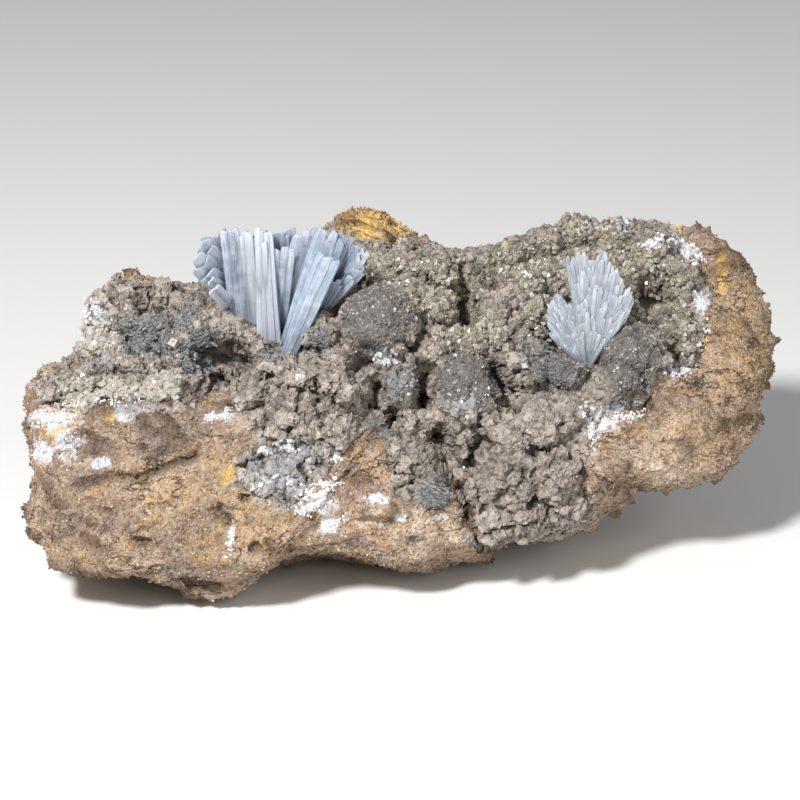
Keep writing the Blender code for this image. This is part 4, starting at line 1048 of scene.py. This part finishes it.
def laths_mesh(name, bundles, material):
    """One mesh of all the laths of a fan: rings of eight points joined along each lath, closed by a face at
    each end. It carries the place across and along each blade, for its fibres, and each lath's number."""
    points = np.concatenate([bundle[0] for bundle in bundles])
    laths, levels, sides = points.shape[:3]
    corner = np.arange(laths * levels * sides).reshape(laths, levels, sides)
    after = np.roll(corner, -1, axis=2)
    walls = np.stack([corner[:, :-1], after[:, :-1], after[:, 1:], corner[:, 1:]], axis=-1).reshape(-1, 4)
    foot = corner[:, 0, ::-1]
    tips = corner[:, -1]
    across = np.concatenate([bundle[1] for bundle in bundles]).ravel()
    along = np.concatenate([bundle[2] for bundle in bundles]).ravel()
    share = np.concatenate([bundle[3] for bundle in bundles]).ravel()
    own = np.repeat(np.random.default_rng(len(points)).random(laths), levels * sides)
    milky = np.repeat(np.concatenate([np.full(len(bundle[0]), bundle[5]) for bundle in bundles]), levels * sides)
    rim = np.concatenate([bundle[4] for bundle in bundles]).ravel()
    values = {"own": own, "milky": milky, "fibre_across": across, "fibre_along": along, "share": share, "rim": rim}
    return mesh_object(name, points.reshape(-1, 3), [walls, foot, tips], values, material, smooth=False)


def fan_bundles(root, lean, sink, blades, overlap, ragged, tip_width, tip_depth, random):
    """Laths of every blade of a fan that stands on the crust at root."""
    ground = face_point(*root)
    made = []
    for blade in blades:
        foot_across, foot_up, tip_across, tip_up, width, thickness, further_out, foot_share, count, milky = blade
        foot = face_point(root[0] + foot_across, root[1] + foot_up) - [0.0, 0.0, sink]
        tip = ground + np.array([tip_across, tip_up, tip_up * math.tan(lean) + further_out])
        laths = lath_sections(foot, tip, width, thickness, foot_share, count, overlap, ragged, tip_width, tip_depth,
                              random)
        made.append((*laths, milky))
    return made


# Finishes


def add_node(tree, kind, inputs=None, **settings):
    """A node with its settings, its plain input values, and links for the inputs given as sockets."""
    made = tree.nodes.new(kind)
    for label, value in settings.items():
        setattr(made, label, value)
    for label, value in (inputs or {}).items():
        if isinstance(value, bpy.types.NodeSocket):
            tree.links.new(value, made.inputs[label])
        else:
            made.inputs[label].default_value = value
    return made


def start_finish(name):
    """A material with its tree and its principled shader."""
    material = bpy.data.materials.new(name)
    material.use_nodes = True
    tree = material.node_tree
    return material, tree, tree.nodes["Principled BSDF"]


def position(tree):
    return add_node(tree, "ShaderNodeTexCoord").outputs["Object"]


def attribute(tree, label):
    return add_node(tree, "ShaderNodeAttribute", attribute_name=label).outputs["Fac"]


def noise(tree, place, size, detail=3.0, roughness=0.55):
    """Noise from 0 to 1 whose features are about size millimetres."""
    inputs = {"Vector": place, "Scale": 1.0 / (size * METRES), "Detail": detail, "Roughness": roughness}
    return add_node(tree, "ShaderNodeTexNoise", inputs).outputs["Fac"]


def cells(tree, place, size, randomness=1.0):
    """Grains of about size millimetres: a random colour for each, and the distance from its middle."""
    inputs = {"Vector": place, "Scale": 1.0 / (size * METRES), "Randomness": randomness}
    made = add_node(tree, "ShaderNodeTexVoronoi", inputs)
    return made.outputs["Color"], made.outputs["Distance"]


def one_of(tree, colour, channel):
    return add_node(tree, "ShaderNodeSeparateColor", {"Color": colour}).outputs[channel]


def calc(tree, kind, first, second=0.0, third=0.0):
    """Arithmetic on one to three numbers."""
    made = add_node(tree, "ShaderNodeMath", {0: first, 1: second, 2: third}, operation=kind)
    return made.outputs["Value"]


def stretch(tree, value, low, high, bottom=0.0, top=1.0):
    """Value from low to high turned smoothly into bottom to top."""
    inputs = {"Value": value, "From Min": low, "From Max": high, "To Min": bottom, "To Max": top}
    return add_node(tree, "ShaderNodeMapRange", inputs, interpolation_type="SMOOTHSTEP").outputs["Result"]


def tint(tree, share, first, second, kind="MIX"):
    """Second colour over the first by share."""
    made = add_node(tree, "ShaderNodeMix", {0: share, 6: first, 7: second}, data_type="RGBA", blend_type=kind)
    return made.outputs[2]


def mottled(tree, mask, middle, fine, low=0.45, high=0.75):
    """A mask broken up by two sizes of noise, so that its edge frays and its middle has gaps."""
    level = calc(tree, "MULTIPLY_ADD", calc(tree, "SUBTRACT", middle, 0.5), 1.8, mask)
    level = calc(tree, "MULTIPLY_ADD", calc(tree, "SUBTRACT", fine, 0.5), 1.0, level)
    return calc(tree, "MULTIPLY", stretch(tree, level, low, high), stretch(tree, mask, 0.0, 0.3))


def sparkle_normal(tree, place, size, lean, base):
    """A normal that each small grain turns its own way, so that single grains flash."""
    colour, _ = cells(tree, place, size)
    centred = add_node(tree, "ShaderNodeVectorMath", {0: colour, 1: (0.5, 0.5, 0.5)}, operation="SUBTRACT")
    scaled = add_node(tree, "ShaderNodeVectorMath", {0: centred.outputs[0], "Scale": lean}, operation="SCALE")
    added = add_node(tree, "ShaderNodeVectorMath", {0: base, 1: scaled.outputs[0]}, operation="ADD")
    return add_node(tree, "ShaderNodeVectorMath", {0: added.outputs[0]}, operation="NORMALIZE").outputs[0]


def rgb(colour):
    return (*colour, 1.0)


def bump(tree, height, distance, strength=1.0, normal=None):
    """Bump of distance millimetres."""
    inputs = {"Height": height, "Distance": distance * METRES, "Strength": strength}
    if normal is not None:
        inputs["Normal"] = normal
    return add_node(tree, "ShaderNodeBump", inputs).outputs["Normal"]


def thin_lines(tree, place, size, width):
    """Crinkled lines where noise of size millimetres passes its middle value, from 0 to 1."""
    away = calc(tree, "ABSOLUTE", calc(tree, "SUBTRACT", noise(tree, place, size, 5.0, 0.6), 0.5))
    return stretch(tree, away, 0.0, width, 1.0, 0.0)


def shaded(tree, colour, shade):
    """Colour lightened or darkened by a number."""
    grey = add_node(tree, "ShaderNodeCombineXYZ", {0: shade, 1: shade, 2: shade}).outputs[0]
    return tint(tree, 1.0, colour, grey, "MULTIPLY")


def rock_finish(look):
    """Sugary brown rock: ochre and brown by patches, orange, pale and dark grains, limonite, quartz and white
    wisps, with painted shade in thin cracks, pits and clefts."""
    material, tree, shader = start_finish("brown_rock_finish")
    place = position(tree)
    broad = noise(tree, place, 9.0, 4.0)
    middle = noise(tree, place, 2.4, 5.0, 0.65)
    fine = noise(tree, place, 0.6, 4.0, 0.7)
    grain_colour, _ = cells(tree, place, 0.5)
    grain, speck = one_of(tree, grain_colour, "Red"), one_of(tree, grain_colour, "Green")
    golden, own = attribute(tree, "golden"), attribute(tree, "own")
    colour = tint(tree, stretch(tree, broad, 0.40, 0.60), rgb(look.light_rock), rgb(look.dark_rock))
    sandy = calc(tree, "MULTIPLY", attribute(tree, "sandy"), stretch(tree, middle, 0.35, 0.65, 0.95, 0.45))
    colour = tint(tree, sandy, colour, rgb(look.sandy_rock))
    gilded = calc(tree, "MULTIPLY", golden, stretch(tree, middle, 0.3, 0.6, 0.9, 0.4))
    colour = tint(tree, gilded, colour, rgb(look.golden_rock))
    rust = stretch(tree, noise(tree, place, 5.0, 4.0, 0.65), 0.52, 0.66, 0.0, 0.55)
    colour = tint(tree, rust, colour, rgb(look.rust))
    colour = tint(tree, stretch(tree, middle, 0.5, 0.68, 0.0, 0.85), colour, rgb(look.stain))
    grey = calc(tree, "MULTIPLY", attribute(tree, "grey"), stretch(tree, middle, 0.35, 0.6, 0.35, 0.9))
    colour = tint(tree, grey, colour, rgb(look.grey_stain))
    quartz = calc(tree, "MULTIPLY", attribute(tree, "quartz"), stretch(tree, middle, 0.4, 0.55))
    colour = tint(tree, quartz, colour, rgb(look.quartz))
    ochre = calc(tree, "MULTIPLY", stretch(tree, grain, 0.62, 0.9), calc(tree, "MULTIPLY_ADD", golden, 0.4, 0.45))
    colour = tint(tree, ochre, colour, rgb(look.ochre_grain))
    colour = tint(tree, stretch(tree, speck, 0.82, 0.95, 0.0, 0.7), colour, rgb(look.pale_grain))
    colour = tint(tree, stretch(tree, speck, 0.06, 0.16, 0.65, 0.0), colour, rgb(look.dark_grain))
    orange = calc(tree, "MULTIPLY", attribute(tree, "orange"), stretch(tree, middle, 0.35, 0.65, 0.95, 0.4))
    colour = tint(tree, orange, colour, rgb(look.limonite))
    shade = calc(tree, "MULTIPLY", stretch(tree, fine, 0.25, 0.75, 0.62, 1.3), stretch(tree, own, 0.0, 1.0, 0.9, 1.2))
    colour = shaded(tree, colour, shade)
    level = add_node(tree, "ShaderNodeMapping", {"Vector": place, "Scale": (0.5, 0.8, 1.3)}).outputs[0]
    cracks = calc(tree, "MULTIPLY", thin_lines(tree, level, 12.0, 0.014), stretch(tree, broad, 0.42, 0.58, 0.9, 0.0))
    # Painted shade: the thin cracks are darkened with the hollows' shade colour.
    colour = tint(tree, cracks, colour, rgb(look.hollow), "MULTIPLY")
    white = attribute(tree, "white")
    wisps = calc(tree, "MULTIPLY", thin_lines(tree, place, 5.0, 0.05), calc(tree, "MULTIPLY_ADD", white, 0.8, 0.10))
    patches = mottled(tree, white, middle, fine, 0.3, 1.1)
    colour = tint(tree, calc(tree, "MAXIMUM", wisps, patches), colour, rgb(look.white))
    # Painted shade in the pits, cracks and clefts, from the hollow attribute.
    dark = calc(tree, "MULTIPLY", attribute(tree, "hollow"), 0.85)
    colour = tint(tree, dark, colour, rgb(look.hollow), "MULTIPLY")
    tree.links.new(colour, shader.inputs["Base Color"])
    glassy = stretch(tree, one_of(tree, grain_colour, "Blue"), 0.84, 0.9)
    tree.links.new(stretch(tree, glassy, 0.0, 1.0, 0.88, 0.3), shader.inputs["Roughness"])
    height = calc(tree, "MULTIPLY_ADD", grain, 0.6, calc(tree, "MULTIPLY", fine, 0.8))
    height = calc(tree, "MULTIPLY_ADD", middle, 1.2, height)
    height = calc(tree, "MULTIPLY_ADD", cracks, -0.9, height)
    turned = sparkle_normal(tree, place, 0.5, 0.6, bump(tree, height, 0.6))
    tree.links.new(turned, shader.inputs["Normal"])
    return material


def crust_finish(look):
    """Matt grey-brown crust: taupe clods, blue-grey slate, golden-grey druse ground, sparkling domes and white
    sugar, with pale specks painted as glints and painted shade in the cracks, gaps, creases and holes."""
    material, tree, shader = start_finish("grey_crust_finish")
    place = position(tree)
    middle = noise(tree, place, 3.2, 5.0, 0.6)
    fine = noise(tree, place, 0.5, 4.0, 0.7)
    grain_colour, grain_distance = cells(tree, place, 0.45)
    grain = one_of(tree, grain_colour, "Red")
    golden, dome = attribute(tree, "golden"), attribute(tree, "dome")
    darker = calc(tree, "MAXIMUM", stretch(tree, middle, 0.35, 0.65), attribute(tree, "dark"))
    colour = tint(tree, darker, rgb(look.taupe), rgb(look.dark_taupe))
    slate_share = calc(tree, "MAXIMUM", attribute(tree, "clod"), attribute(tree, "dark"))
    slate = tint(tree, slate_share, rgb(look.slate), rgb(look.dark_slate))
    colour = tint(tree, attribute(tree, "slate"), colour, slate)
    gold = tint(tree, grain, rgb(look.golden), rgb(look.dark_golden))
    colour = tint(tree, golden, colour, gold)
    colour = tint(tree, calc(tree, "MULTIPLY", dome, 0.9), colour, rgb(look.dome))
    colour = tint(tree, calc(tree, "MULTIPLY", attribute(tree, "pale"), 0.8), colour, rgb(look.pale))
    quartz = calc(tree, "MULTIPLY", attribute(tree, "quartz"), stretch(tree, middle, 0.35, 0.6, 0.9, 0.3))
    colour = tint(tree, quartz, colour, rgb(look.quartz))
    white = mottled(tree, attribute(tree, "white"), middle, fine, 0.35, 1.05)
    colour = tint(tree, white, colour, rgb(look.white))
    clod = stretch(tree, attribute(tree, "clod"), 0.0, 1.0, 0.84, 1.14)
    colour = shaded(tree, colour, calc(tree, "MULTIPLY", clod, stretch(tree, fine, 0.25, 0.75, 0.74, 1.2)))
    sparkly = calc(tree, "MAXIMUM", golden, calc(tree, "MULTIPLY", dome, 0.7))
    # Painted glints: pale specks on the druse ground and the domes.
    glint_speck = calc(tree, "MULTIPLY", stretch(tree, grain, 0.92, 0.96, 0.0, 0.5), sparkly)
    colour = tint(tree, glint_speck, colour, rgb(look.pale))
    # Painted shade in the cracks, gaps, creases and holes, from the hollow attribute.
    dark = calc(tree, "MULTIPLY", attribute(tree, "hollow"), 0.95)
    colour = tint(tree, dark, colour, rgb(look.hollow), "MULTIPLY")
    tree.links.new(colour, shader.inputs["Base Color"])
    flashing = calc(tree, "MULTIPLY", stretch(tree, one_of(tree, grain_colour, "Blue"), 0.7, 0.8), sparkly)
    tree.links.new(stretch(tree, flashing, 0.0, 1.0, 0.85, 0.22), shader.inputs["Roughness"])
    height = calc(tree, "MULTIPLY_ADD", grain, 0.35, calc(tree, "MULTIPLY", fine, 0.8))
    height = calc(tree, "MULTIPLY_ADD", grain_distance, -0.4, height)
    turned = sparkle_normal(tree, place, 0.45, 0.5, bump(tree, height, 0.35, 0.9))
    tree.links.new(turned, shader.inputs["Normal"])
    return material


def druse_finish(look):
    """Glassy blocky crystals, golden grey to clear, each its own shade; a few are painted white as glints."""
    material, tree, shader = start_finish("druse_finish")
    own, golden = attribute(tree, "own"), attribute(tree, "golden")
    warm = tint(tree, own, rgb(look.dark_golden), rgb(look.bright_golden))
    cool = tint(tree, own, rgb(look.dome), rgb(look.dome_crystal))
    colour = tint(tree, golden, cool, warm)
    colour = tint(tree, calc(tree, "MULTIPLY", attribute(tree, "pale"), 0.7), colour, rgb(look.pale))
    # Painted glints: a few crystals painted white.
    colour = tint(tree, stretch(tree, own, 0.92, 0.96, 0.0, 0.8), colour, rgb(look.white))
    cloud = noise(tree, position(tree), 0.6, 3.0)
    colour = tint(tree, stretch(tree, cloud, 0.45, 0.75, 0.0, 0.3), colour, rgb(look.pale))
    tree.links.new(colour, shader.inputs["Base Color"])
    shader.inputs["Roughness"].default_value = 0.12
    shader.inputs["IOR"].default_value = 1.66
    shader.inputs["Transmission Weight"].default_value = 0.40
    return material


def pale_finish(name, colour, roughness, transmission, ior=1.55):
    """Pale crystal with faint clouding: white or cream sugar where transmission is low, clear quartz where it
    is high."""
    material, tree, shader = start_finish(name)
    cloud = noise(tree, position(tree), 0.9, 4.0)
    own = stretch(tree, attribute(tree, "own"), 0.0, 1.0, 0.0, 0.35)
    shade = tint(tree, own, rgb(colour), rgb([0.72 * part for part in colour]))
    shade = tint(tree, stretch(tree, cloud, 0.45, 0.75, 0.0, 0.5), shade, rgb((0.92, 0.92, 0.94)))
    tree.links.new(shade, shader.inputs["Base Color"])
    shader.inputs["Roughness"].default_value = roughness
    shader.inputs["IOR"].default_value = ior
    shader.inputs["Transmission Weight"].default_value = transmission
    return material


def barite_finish(name, look, clear, milky, transmission):
    """Barite: pale blue crystal, clearer or milkier by fibres that run along each blade and by lath, white
    along the tips, the lath edges and streaks: partly milky barite, partly painted highlight."""
    material, tree, shader = start_finish(name)
    across, along = attribute(tree, "fibre_across"), attribute(tree, "fibre_along")
    milky_blade, own = attribute(tree, "milky"), attribute(tree, "own")
    spot = {0: calc(tree, "MULTIPLY", across, 2.6), 1: calc(tree, "MULTIPLY", along, 0.15)}
    spot[2] = calc(tree, "MULTIPLY", own, 31.0)
    fibre_place = add_node(tree, "ShaderNodeCombineXYZ", spot).outputs[0]
    fibre = add_node(tree, "ShaderNodeTexNoise", {"Vector": fibre_place, "Scale": 1.0, "Detail": 4.0}).outputs["Fac"]
    veil = noise(tree, position(tree), 2.6, 4.0, 0.6)
    white = calc(tree, "ADD", calc(tree, "MULTIPLY", fibre, 0.45), calc(tree, "MULTIPLY", veil, 0.45))
    white = calc(tree, "MULTIPLY_ADD", calc(tree, "SUBTRACT", milky_blade, 0.4), 0.45, white)
    white = calc(tree, "MULTIPLY_ADD", calc(tree, "SUBTRACT", own, 0.5), 0.08, white)
    share = stretch(tree, white, 0.25, 0.66)
    colour = tint(tree, share, rgb(clear), rgb(milky))
    # White along the tips, lath edges and streaks: partly milky barite, partly painted highlight of bright edges and
    # glints.
    tip = stretch(tree, attribute(tree, "share"), 0.8, 1.0, 0.0, 0.5)
    seam = stretch(tree, attribute(tree, "rim"), 0.74, 0.95, 0.0, 0.5)
    streak = calc(tree, "MULTIPLY", stretch(tree, fibre, 0.58, 0.66, 0.0, 0.8), stretch(tree, veil, 0.45, 0.6))
    pale = calc(tree, "MAXIMUM", calc(tree, "MULTIPLY", tip, own), calc(tree, "MAXIMUM", seam, streak))
    colour = tint(tree, pale, colour, rgb(look.white_and_highlight))
    tree.links.new(colour, shader.inputs["Base Color"])
    tree.links.new(stretch(tree, share, 0.0, 1.0, 0.06, 0.2), shader.inputs["Roughness"])
    tree.links.new(stretch(tree, share, 0.0, 1.0, transmission, 0.35 * transmission), shader.inputs["Transmission Weight"])
    shader.inputs["IOR"].default_value = 1.64
    shader.inputs["Subsurface Weight"].default_value = 0.5
    shader.inputs["Subsurface Radius"].default_value = (0.8, 0.9, 1.0)
    shader.inputs["Subsurface Scale"].default_value = 0.003
    tree.links.new(bump(tree, fibre, 0.08, 0.7), shader.inputs["Normal"])
    return material


# What a user can change


def colour_property(name, description, default):
    return bpy.props.FloatVectorProperty(
        name=name, description=description, subtype="COLOR", size=3, min=0.0, max=1.0, default=default
    )


class RockLook(bpy.types.PropertyGroup):
    light_rock: colour_property("Light rock", "Ochre of the lighter rock", (0.56, 0.395, 0.27))
    dark_rock: colour_property("Dark rock", "Brown of the darker rock", (0.32, 0.215, 0.15))
    stain: colour_property("Stain", "Dark brown stain", (0.17, 0.108, 0.07))
    golden_rock: colour_property("Golden rock", "Golden brown of the right rim", (0.56, 0.375, 0.18))
    sandy_rock: colour_property("Sandy rock", "Pale sandy rock of the spur and the lower right", (0.80, 0.63, 0.48))
    ochre_grain: colour_property("Ochre grains", "Sandy orange grains", (0.60, 0.39, 0.18))
    limonite: colour_property("Limonite", "Golden orange of the limonite", (0.96, 0.62, 0.17))
    rust: colour_property("Rust", "Rusty brown blotches", (0.46, 0.27, 0.125))
    grey_stain: colour_property("Grey stain", "Purple-brown of the weathered patches", (0.27, 0.205, 0.172))
    quartz: colour_property("Quartz", "Grey of the quartz in the rock", (0.42, 0.40, 0.38))
    pale_grain: colour_property("Pale grains", "Sugary pale grains", (0.66, 0.55, 0.44))
    dark_grain: colour_property("Dark grains", "Dark specks", (0.12, 0.08, 0.055))
    white: colour_property("White", "White veins and bands", (0.84, 0.85, 0.89))
    hollow: colour_property("Hollows", "Shade that gathers in pits and cracks", (0.22, 0.17, 0.14))
    grain_count: bpy.props.IntProperty(
        name="Grains", description="How many sugary grains the rock has", default=16000, min=0, max=16000
    )


class CrustLook(bpy.types.PropertyGroup):
    taupe: colour_property("Taupe", "Grey-brown of the clods", (0.47, 0.408, 0.355))
    dark_taupe: colour_property("Dark taupe", "Darker grey-brown", (0.345, 0.297, 0.257))
    slate: colour_property("Slate", "Blue-grey of the leafy clods", (0.33, 0.33, 0.325))
    dark_slate: colour_property("Dark slate", "Darker blue-grey", (0.125, 0.127, 0.125))
    golden: colour_property("Druse ground", "Golden grey under the druse", (0.41, 0.365, 0.295))
    dark_golden: colour_property("Dark druse", "Darker golden grey", (0.20, 0.168, 0.128))
    bright_golden: colour_property("Bright druse", "Lightest golden crystals", (0.74, 0.67, 0.55))
    dome_crystal: colour_property("Dome crystals", "Brown-grey crystals of the domes", (0.31, 0.285, 0.262))
    dome: colour_property("Domes", "Brown-grey of the sparkling domes", (0.15, 0.137, 0.13))
    pale: colour_property("Pale druse", "Cream-grey crystals", (0.72, 0.665, 0.585))
    quartz: colour_property("Quartz", "Grey glassy ground", (0.46, 0.45, 0.44))
    # Also the white painted on a few druse crystals as glints.
    white: colour_property("White", "White sugar on the crust", (0.76, 0.76, 0.79))
    hollow: colour_property("Hollows", "Shade that gathers in cracks", (0.14, 0.12, 0.11))
    crumb_count: bpy.props.IntProperty(
        name="Crumbs", description="How many angular crumbs the crust has", default=4500, min=0, max=16000
    )
    leaf_count: bpy.props.IntProperty(
        name="Leaves", description="How many thin leaves the slate-grey clods have", default=2600, min=0, max=16000
    )
    crystal_count: bpy.props.IntProperty(
        name="Druse crystals", description="How many small crystals the druse has", default=16000, min=0, max=16000
    )


class BariteLook(bpy.types.PropertyGroup):
    clear_blue: colour_property("Clear blue", "Clearer parts of the large fan", (0.44, 0.56, 0.76))
    milky_blue: colour_property("Milky blue", "Milky parts of the large fan", (0.60, 0.67, 0.79))
    small_clear: colour_property("Small fan, clear", "Clearer parts of the small fan", (0.49, 0.58, 0.70))
    small_milky: colour_property("Small fan, milky", "Milky parts of the small fan", (0.58, 0.65, 0.75))
    # White of the tips, lath edges and streaks: partly milky barite, partly painted highlight.
    white_and_highlight: colour_property("White", "White tips and the whitest blades", (0.84, 0.88, 0.95))


class StageLook(bpy.types.PropertyGroup):
    floor_colour: colour_property("Floor", "Pale floor", (0.80, 0.795, 0.78))
    floor_size: bpy.props.FloatProperty(
        name="Floor size", description="Side of the square floor", default=6.0, unit="LENGTH", min=1.0
    )
    key_power: bpy.props.FloatProperty(
        name="Key light", description="Power of the main light, in watts", default=10.4, min=0.0
    )
    fill_power: bpy.props.FloatProperty(
        name="Fill light", description="Power of the softer light, in watts", default=2.0, min=0.0
    )
    sky: bpy.props.FloatProperty(name="Sky", description="Strength of the light all round", default=0.24, min=0.0)


class BARITE_OT_rock(bpy.types.Operator):
    """Build the brown host rock"""

    bl_idname = "barite.rock"
    bl_label = "Host rock"

    def execute(self, context):
        look = context.scene.barite_rock
        skin, grains_on_it = build_rock_skin(look.grain_count, rock_finish(look))
        for piece in (skin, grains_on_it):
            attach(piece, "root")
        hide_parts("host_rock")
        return {"FINISHED"}


class BARITE_OT_crust(bpy.types.Operator):
    """Build the grey crust and the crystals that grow on it"""

    bl_idname = "barite.crust"
    bl_label = "Crust and druse"

    def execute(self, context):
        look = context.scene.barite_crust
        finish = crust_finish(look)
        halves, points, inside, masks = build_crust_skin(finish)
        for half in halves:
            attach(half, "root")
            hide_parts("grey_crust")
        crumbs = build_crumbs(points, inside, masks, look.crumb_count, finish)
        thin = build_leaves(points, inside, masks, look.leaf_count, finish)
        druse = build_druse(points, inside, masks, look.crystal_count, druse_finish(look))
        rock = bpy.data.objects["rock_skin"].data
        bare = np.empty(len(rock.vertices) * 3)
        rock.vertices.foreach_get("co", bare)
        surface = np.vstack([points[inside > 0.3], from_world(bare.reshape(-1, 3))])
        surface = surface[surface[:, 2] > RIM_OUT_PER_UP * surface[:, 1] - 4.0]
        white_finish = pale_finish("white_sugar_finish", (0.80, 0.80, 0.82), 0.4, 0.2)
        white = build_heaps("white_sugar", WHITE_HEAPS, 11, surface, white_finish, -0.1, BLOCK)
        clear_finish = pale_finish("clear_quartz_finish", (0.50, 0.50, 0.51), 0.12, 0.5)
        clear = build_heaps("clear_quartz", CLEAR_HEAPS, 12, surface, clear_finish, -0.1, six_sided())
        random = np.random.default_rng(5)
        spots = np.array(CREAM_CRYSTALS)
        places = surface[nearest_front(spots[:, :2], surface)] - np.outer(0.25 * spots[:, 2], (0.0, 0.0, 1.0))
        cream_finish = pale_finish("cream_crystal_finish", (0.43, 0.385, 0.31), 0.35, 0.1)
        cream = crystal_cloud(
            "cream_crystals", places, spots[:, 2], random, cream_finish, skew=0.1, uneven=0.12, broken=0.13
        )
        for piece in (crumbs, thin, druse, white, clear, cream):
            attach(piece, "root")
        return {"FINISHED"}


class BARITE_OT_fans(bpy.types.Operator):
    """Build both fans of barite blades"""

    bl_idname = "barite.fans"
    bl_label = "Barite fans"

    def execute(self, context):
        look = context.scene.barite_blades
        large_finish = barite_finish("large_fan_finish", look, look.clear_blue, look.milky_blue, 0.55)
        small_finish = barite_finish("small_fan_finish", look, look.small_clear, look.small_milky, 0.4)
        large = laths_mesh(
            "barite_large",
            fan_bundles(
                LARGE_FAN_ROOT, LARGE_FAN_LEAN, LARGE_FAN_SINK, LARGE_FAN_BLADES, 1.5, 0.09, 0.7, 0.4, np.random.default_rng(3)
            ),
            large_finish,
        )
        random = np.random.default_rng(4)
        small = laths_mesh(
            "barite_small",
            fan_bundles(SMALL_FAN_ROOT, SMALL_FAN_LEAN, SMALL_FAN_SINK, leaf_blades(random), 1.2, 0.0, 0.4, 0.3, random),
            small_finish,
        )
        for piece, node in ((large, "barite_fan_large"), (small, "barite_fan_small")):
            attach(piece, "root")
            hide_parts(node)
        return {"FINISHED"}


def from_world(points):
    """The opposite of to_world: metres in the room to millimetres in the frame of the face."""
    across, depth, height = np.moveaxis(np.asarray(points, float) / METRES, -1, 0)
    across, depth, height = across - MIDDLE_ACROSS, depth - MIDDLE_BEHIND, height - FLOOR_BELOW_MIDDLE
    up = depth * math.sin(FACE_LEAN) + height * math.cos(FACE_LEAN)
    out = height * math.sin(FACE_LEAN) - depth * math.cos(FACE_LEAN)
    return np.stack([across, up, out], axis=-1)


FRAME_WIDTH = 0.1698
LENS = 135.0
SENSOR = 36.0


def aim(item, target):
    """Turns a lamp or a camera to look at a point."""
    item.rotation_euler = (Vector(target) - item.location).to_track_quat("-Z", "Y").to_euler()


def area_light(name, location, size, power, target, colour=(1.0, 1.0, 1.0)):
    lamp = bpy.data.lights.new(name, "AREA")
    lamp.shape = "DISK"
    lamp.size = size
    lamp.energy = power
    lamp.color = colour
    made = bpy.data.objects.new(name, lamp)
    bpy.context.scene.collection.objects.link(made)
    made.location = location
    aim(made, target)
    return made


class BARITE_OT_stage(bpy.types.Operator):
    """Set out the floor, the lights and the camera"""

    bl_idname = "barite.stage"
    bl_label = "Stage"

    def execute(self, context):
        look = context.scene.barite_stage
        half = look.floor_size / 2
        mesh = bpy.data.meshes.new("floor")
        mesh.from_pydata([(-half, -half, 0), (half, -half, 0), (half, half, 0), (-half, half, 0)], [], [(0, 1, 2, 3)])
        material, tree, shader = start_finish("floor_finish")
        shader.inputs["Base Color"].default_value = rgb(look.floor_colour)
        shader.inputs["Roughness"].default_value = 0.9
        mesh.materials.append(material)
        floor = bpy.data.objects.new("floor", mesh)
        context.scene.collection.objects.link(floor)
        world = context.scene.world or bpy.data.worlds.new("world")
        context.scene.world = world
        world.use_nodes = True
        sky = world.node_tree.nodes["Background"]
        sky.inputs["Color"].default_value = (0.95, 0.97, 1.0, 1.0)
        sky.inputs["Strength"].default_value = look.sky
        target = (MIDDLE_ACROSS * METRES, MIDDLE_BEHIND * METRES, FLOOR_BELOW_MIDDLE * METRES)
        area_light("key_light", (-0.30, -0.52, 0.62), 0.12, look.key_power, target)
        area_light("fill_light", (0.55, -0.45, 0.35), 0.6, look.fill_power, target)
        context.scene.view_settings.view_transform = "Standard"
        lens = bpy.data.cameras.new("camera")
        lens.lens = LENS
        lens.sensor_width = SENSOR
        camera = bpy.data.objects.new("camera", lens)
        context.scene.collection.objects.link(camera)
        distance = FRAME_WIDTH * LENS / SENSOR
        camera.location = (
            target[0],
            target[1] - distance * math.cos(FACE_LEAN),
            target[2] + distance * math.sin(FACE_LEAN),
        )
        aim(camera, target)
        context.scene.camera = camera
        return {"FINISHED"}


class BARITE_PT_panel(bpy.types.Panel):
    """The specimen's pieces and their looks"""

    bl_idname = "BARITE_PT_panel"
    bl_label = "Barite on matrix"
    bl_space_type = "VIEW_3D"
    bl_region_type = "UI"
    bl_category = "Barite"

    def draw(self, context):
        for operator in OPERATORS:
            self.layout.operator(operator.bl_idname)
        for label in LOOKS:
            box = self.layout.box()
            group = getattr(context.scene, label)
            for name in group.bl_rna.properties.keys():
                if name not in ("rna_type", "name"):
                    box.prop(group, name)


OPERATORS = (BARITE_OT_rock, BARITE_OT_crust, BARITE_OT_fans, BARITE_OT_stage)
LOOKS = {
    "barite_rock": RockLook,
    "barite_crust": CrustLook,
    "barite_blades": BariteLook,
    "barite_stage": StageLook,
}


def register():
    for kind in (*LOOKS.values(), *OPERATORS, BARITE_PT_panel):
        bpy.utils.register_class(kind)
    for label, kind in LOOKS.items():
        setattr(bpy.types.Scene, label, bpy.props.PointerProperty(type=kind))


def unregister():
    for label in LOOKS:
        delattr(bpy.types.Scene, label)
    for kind in (BARITE_PT_panel, *reversed(OPERATORS), *reversed(tuple(LOOKS.values()))):
        bpy.utils.unregister_class(kind)


def main():
    register()
    bpy.ops.barite.rock()
    bpy.ops.barite.crust()
    bpy.ops.barite.fans()
    bpy.ops.barite.stage()


if __name__ == "__main__":
    main()
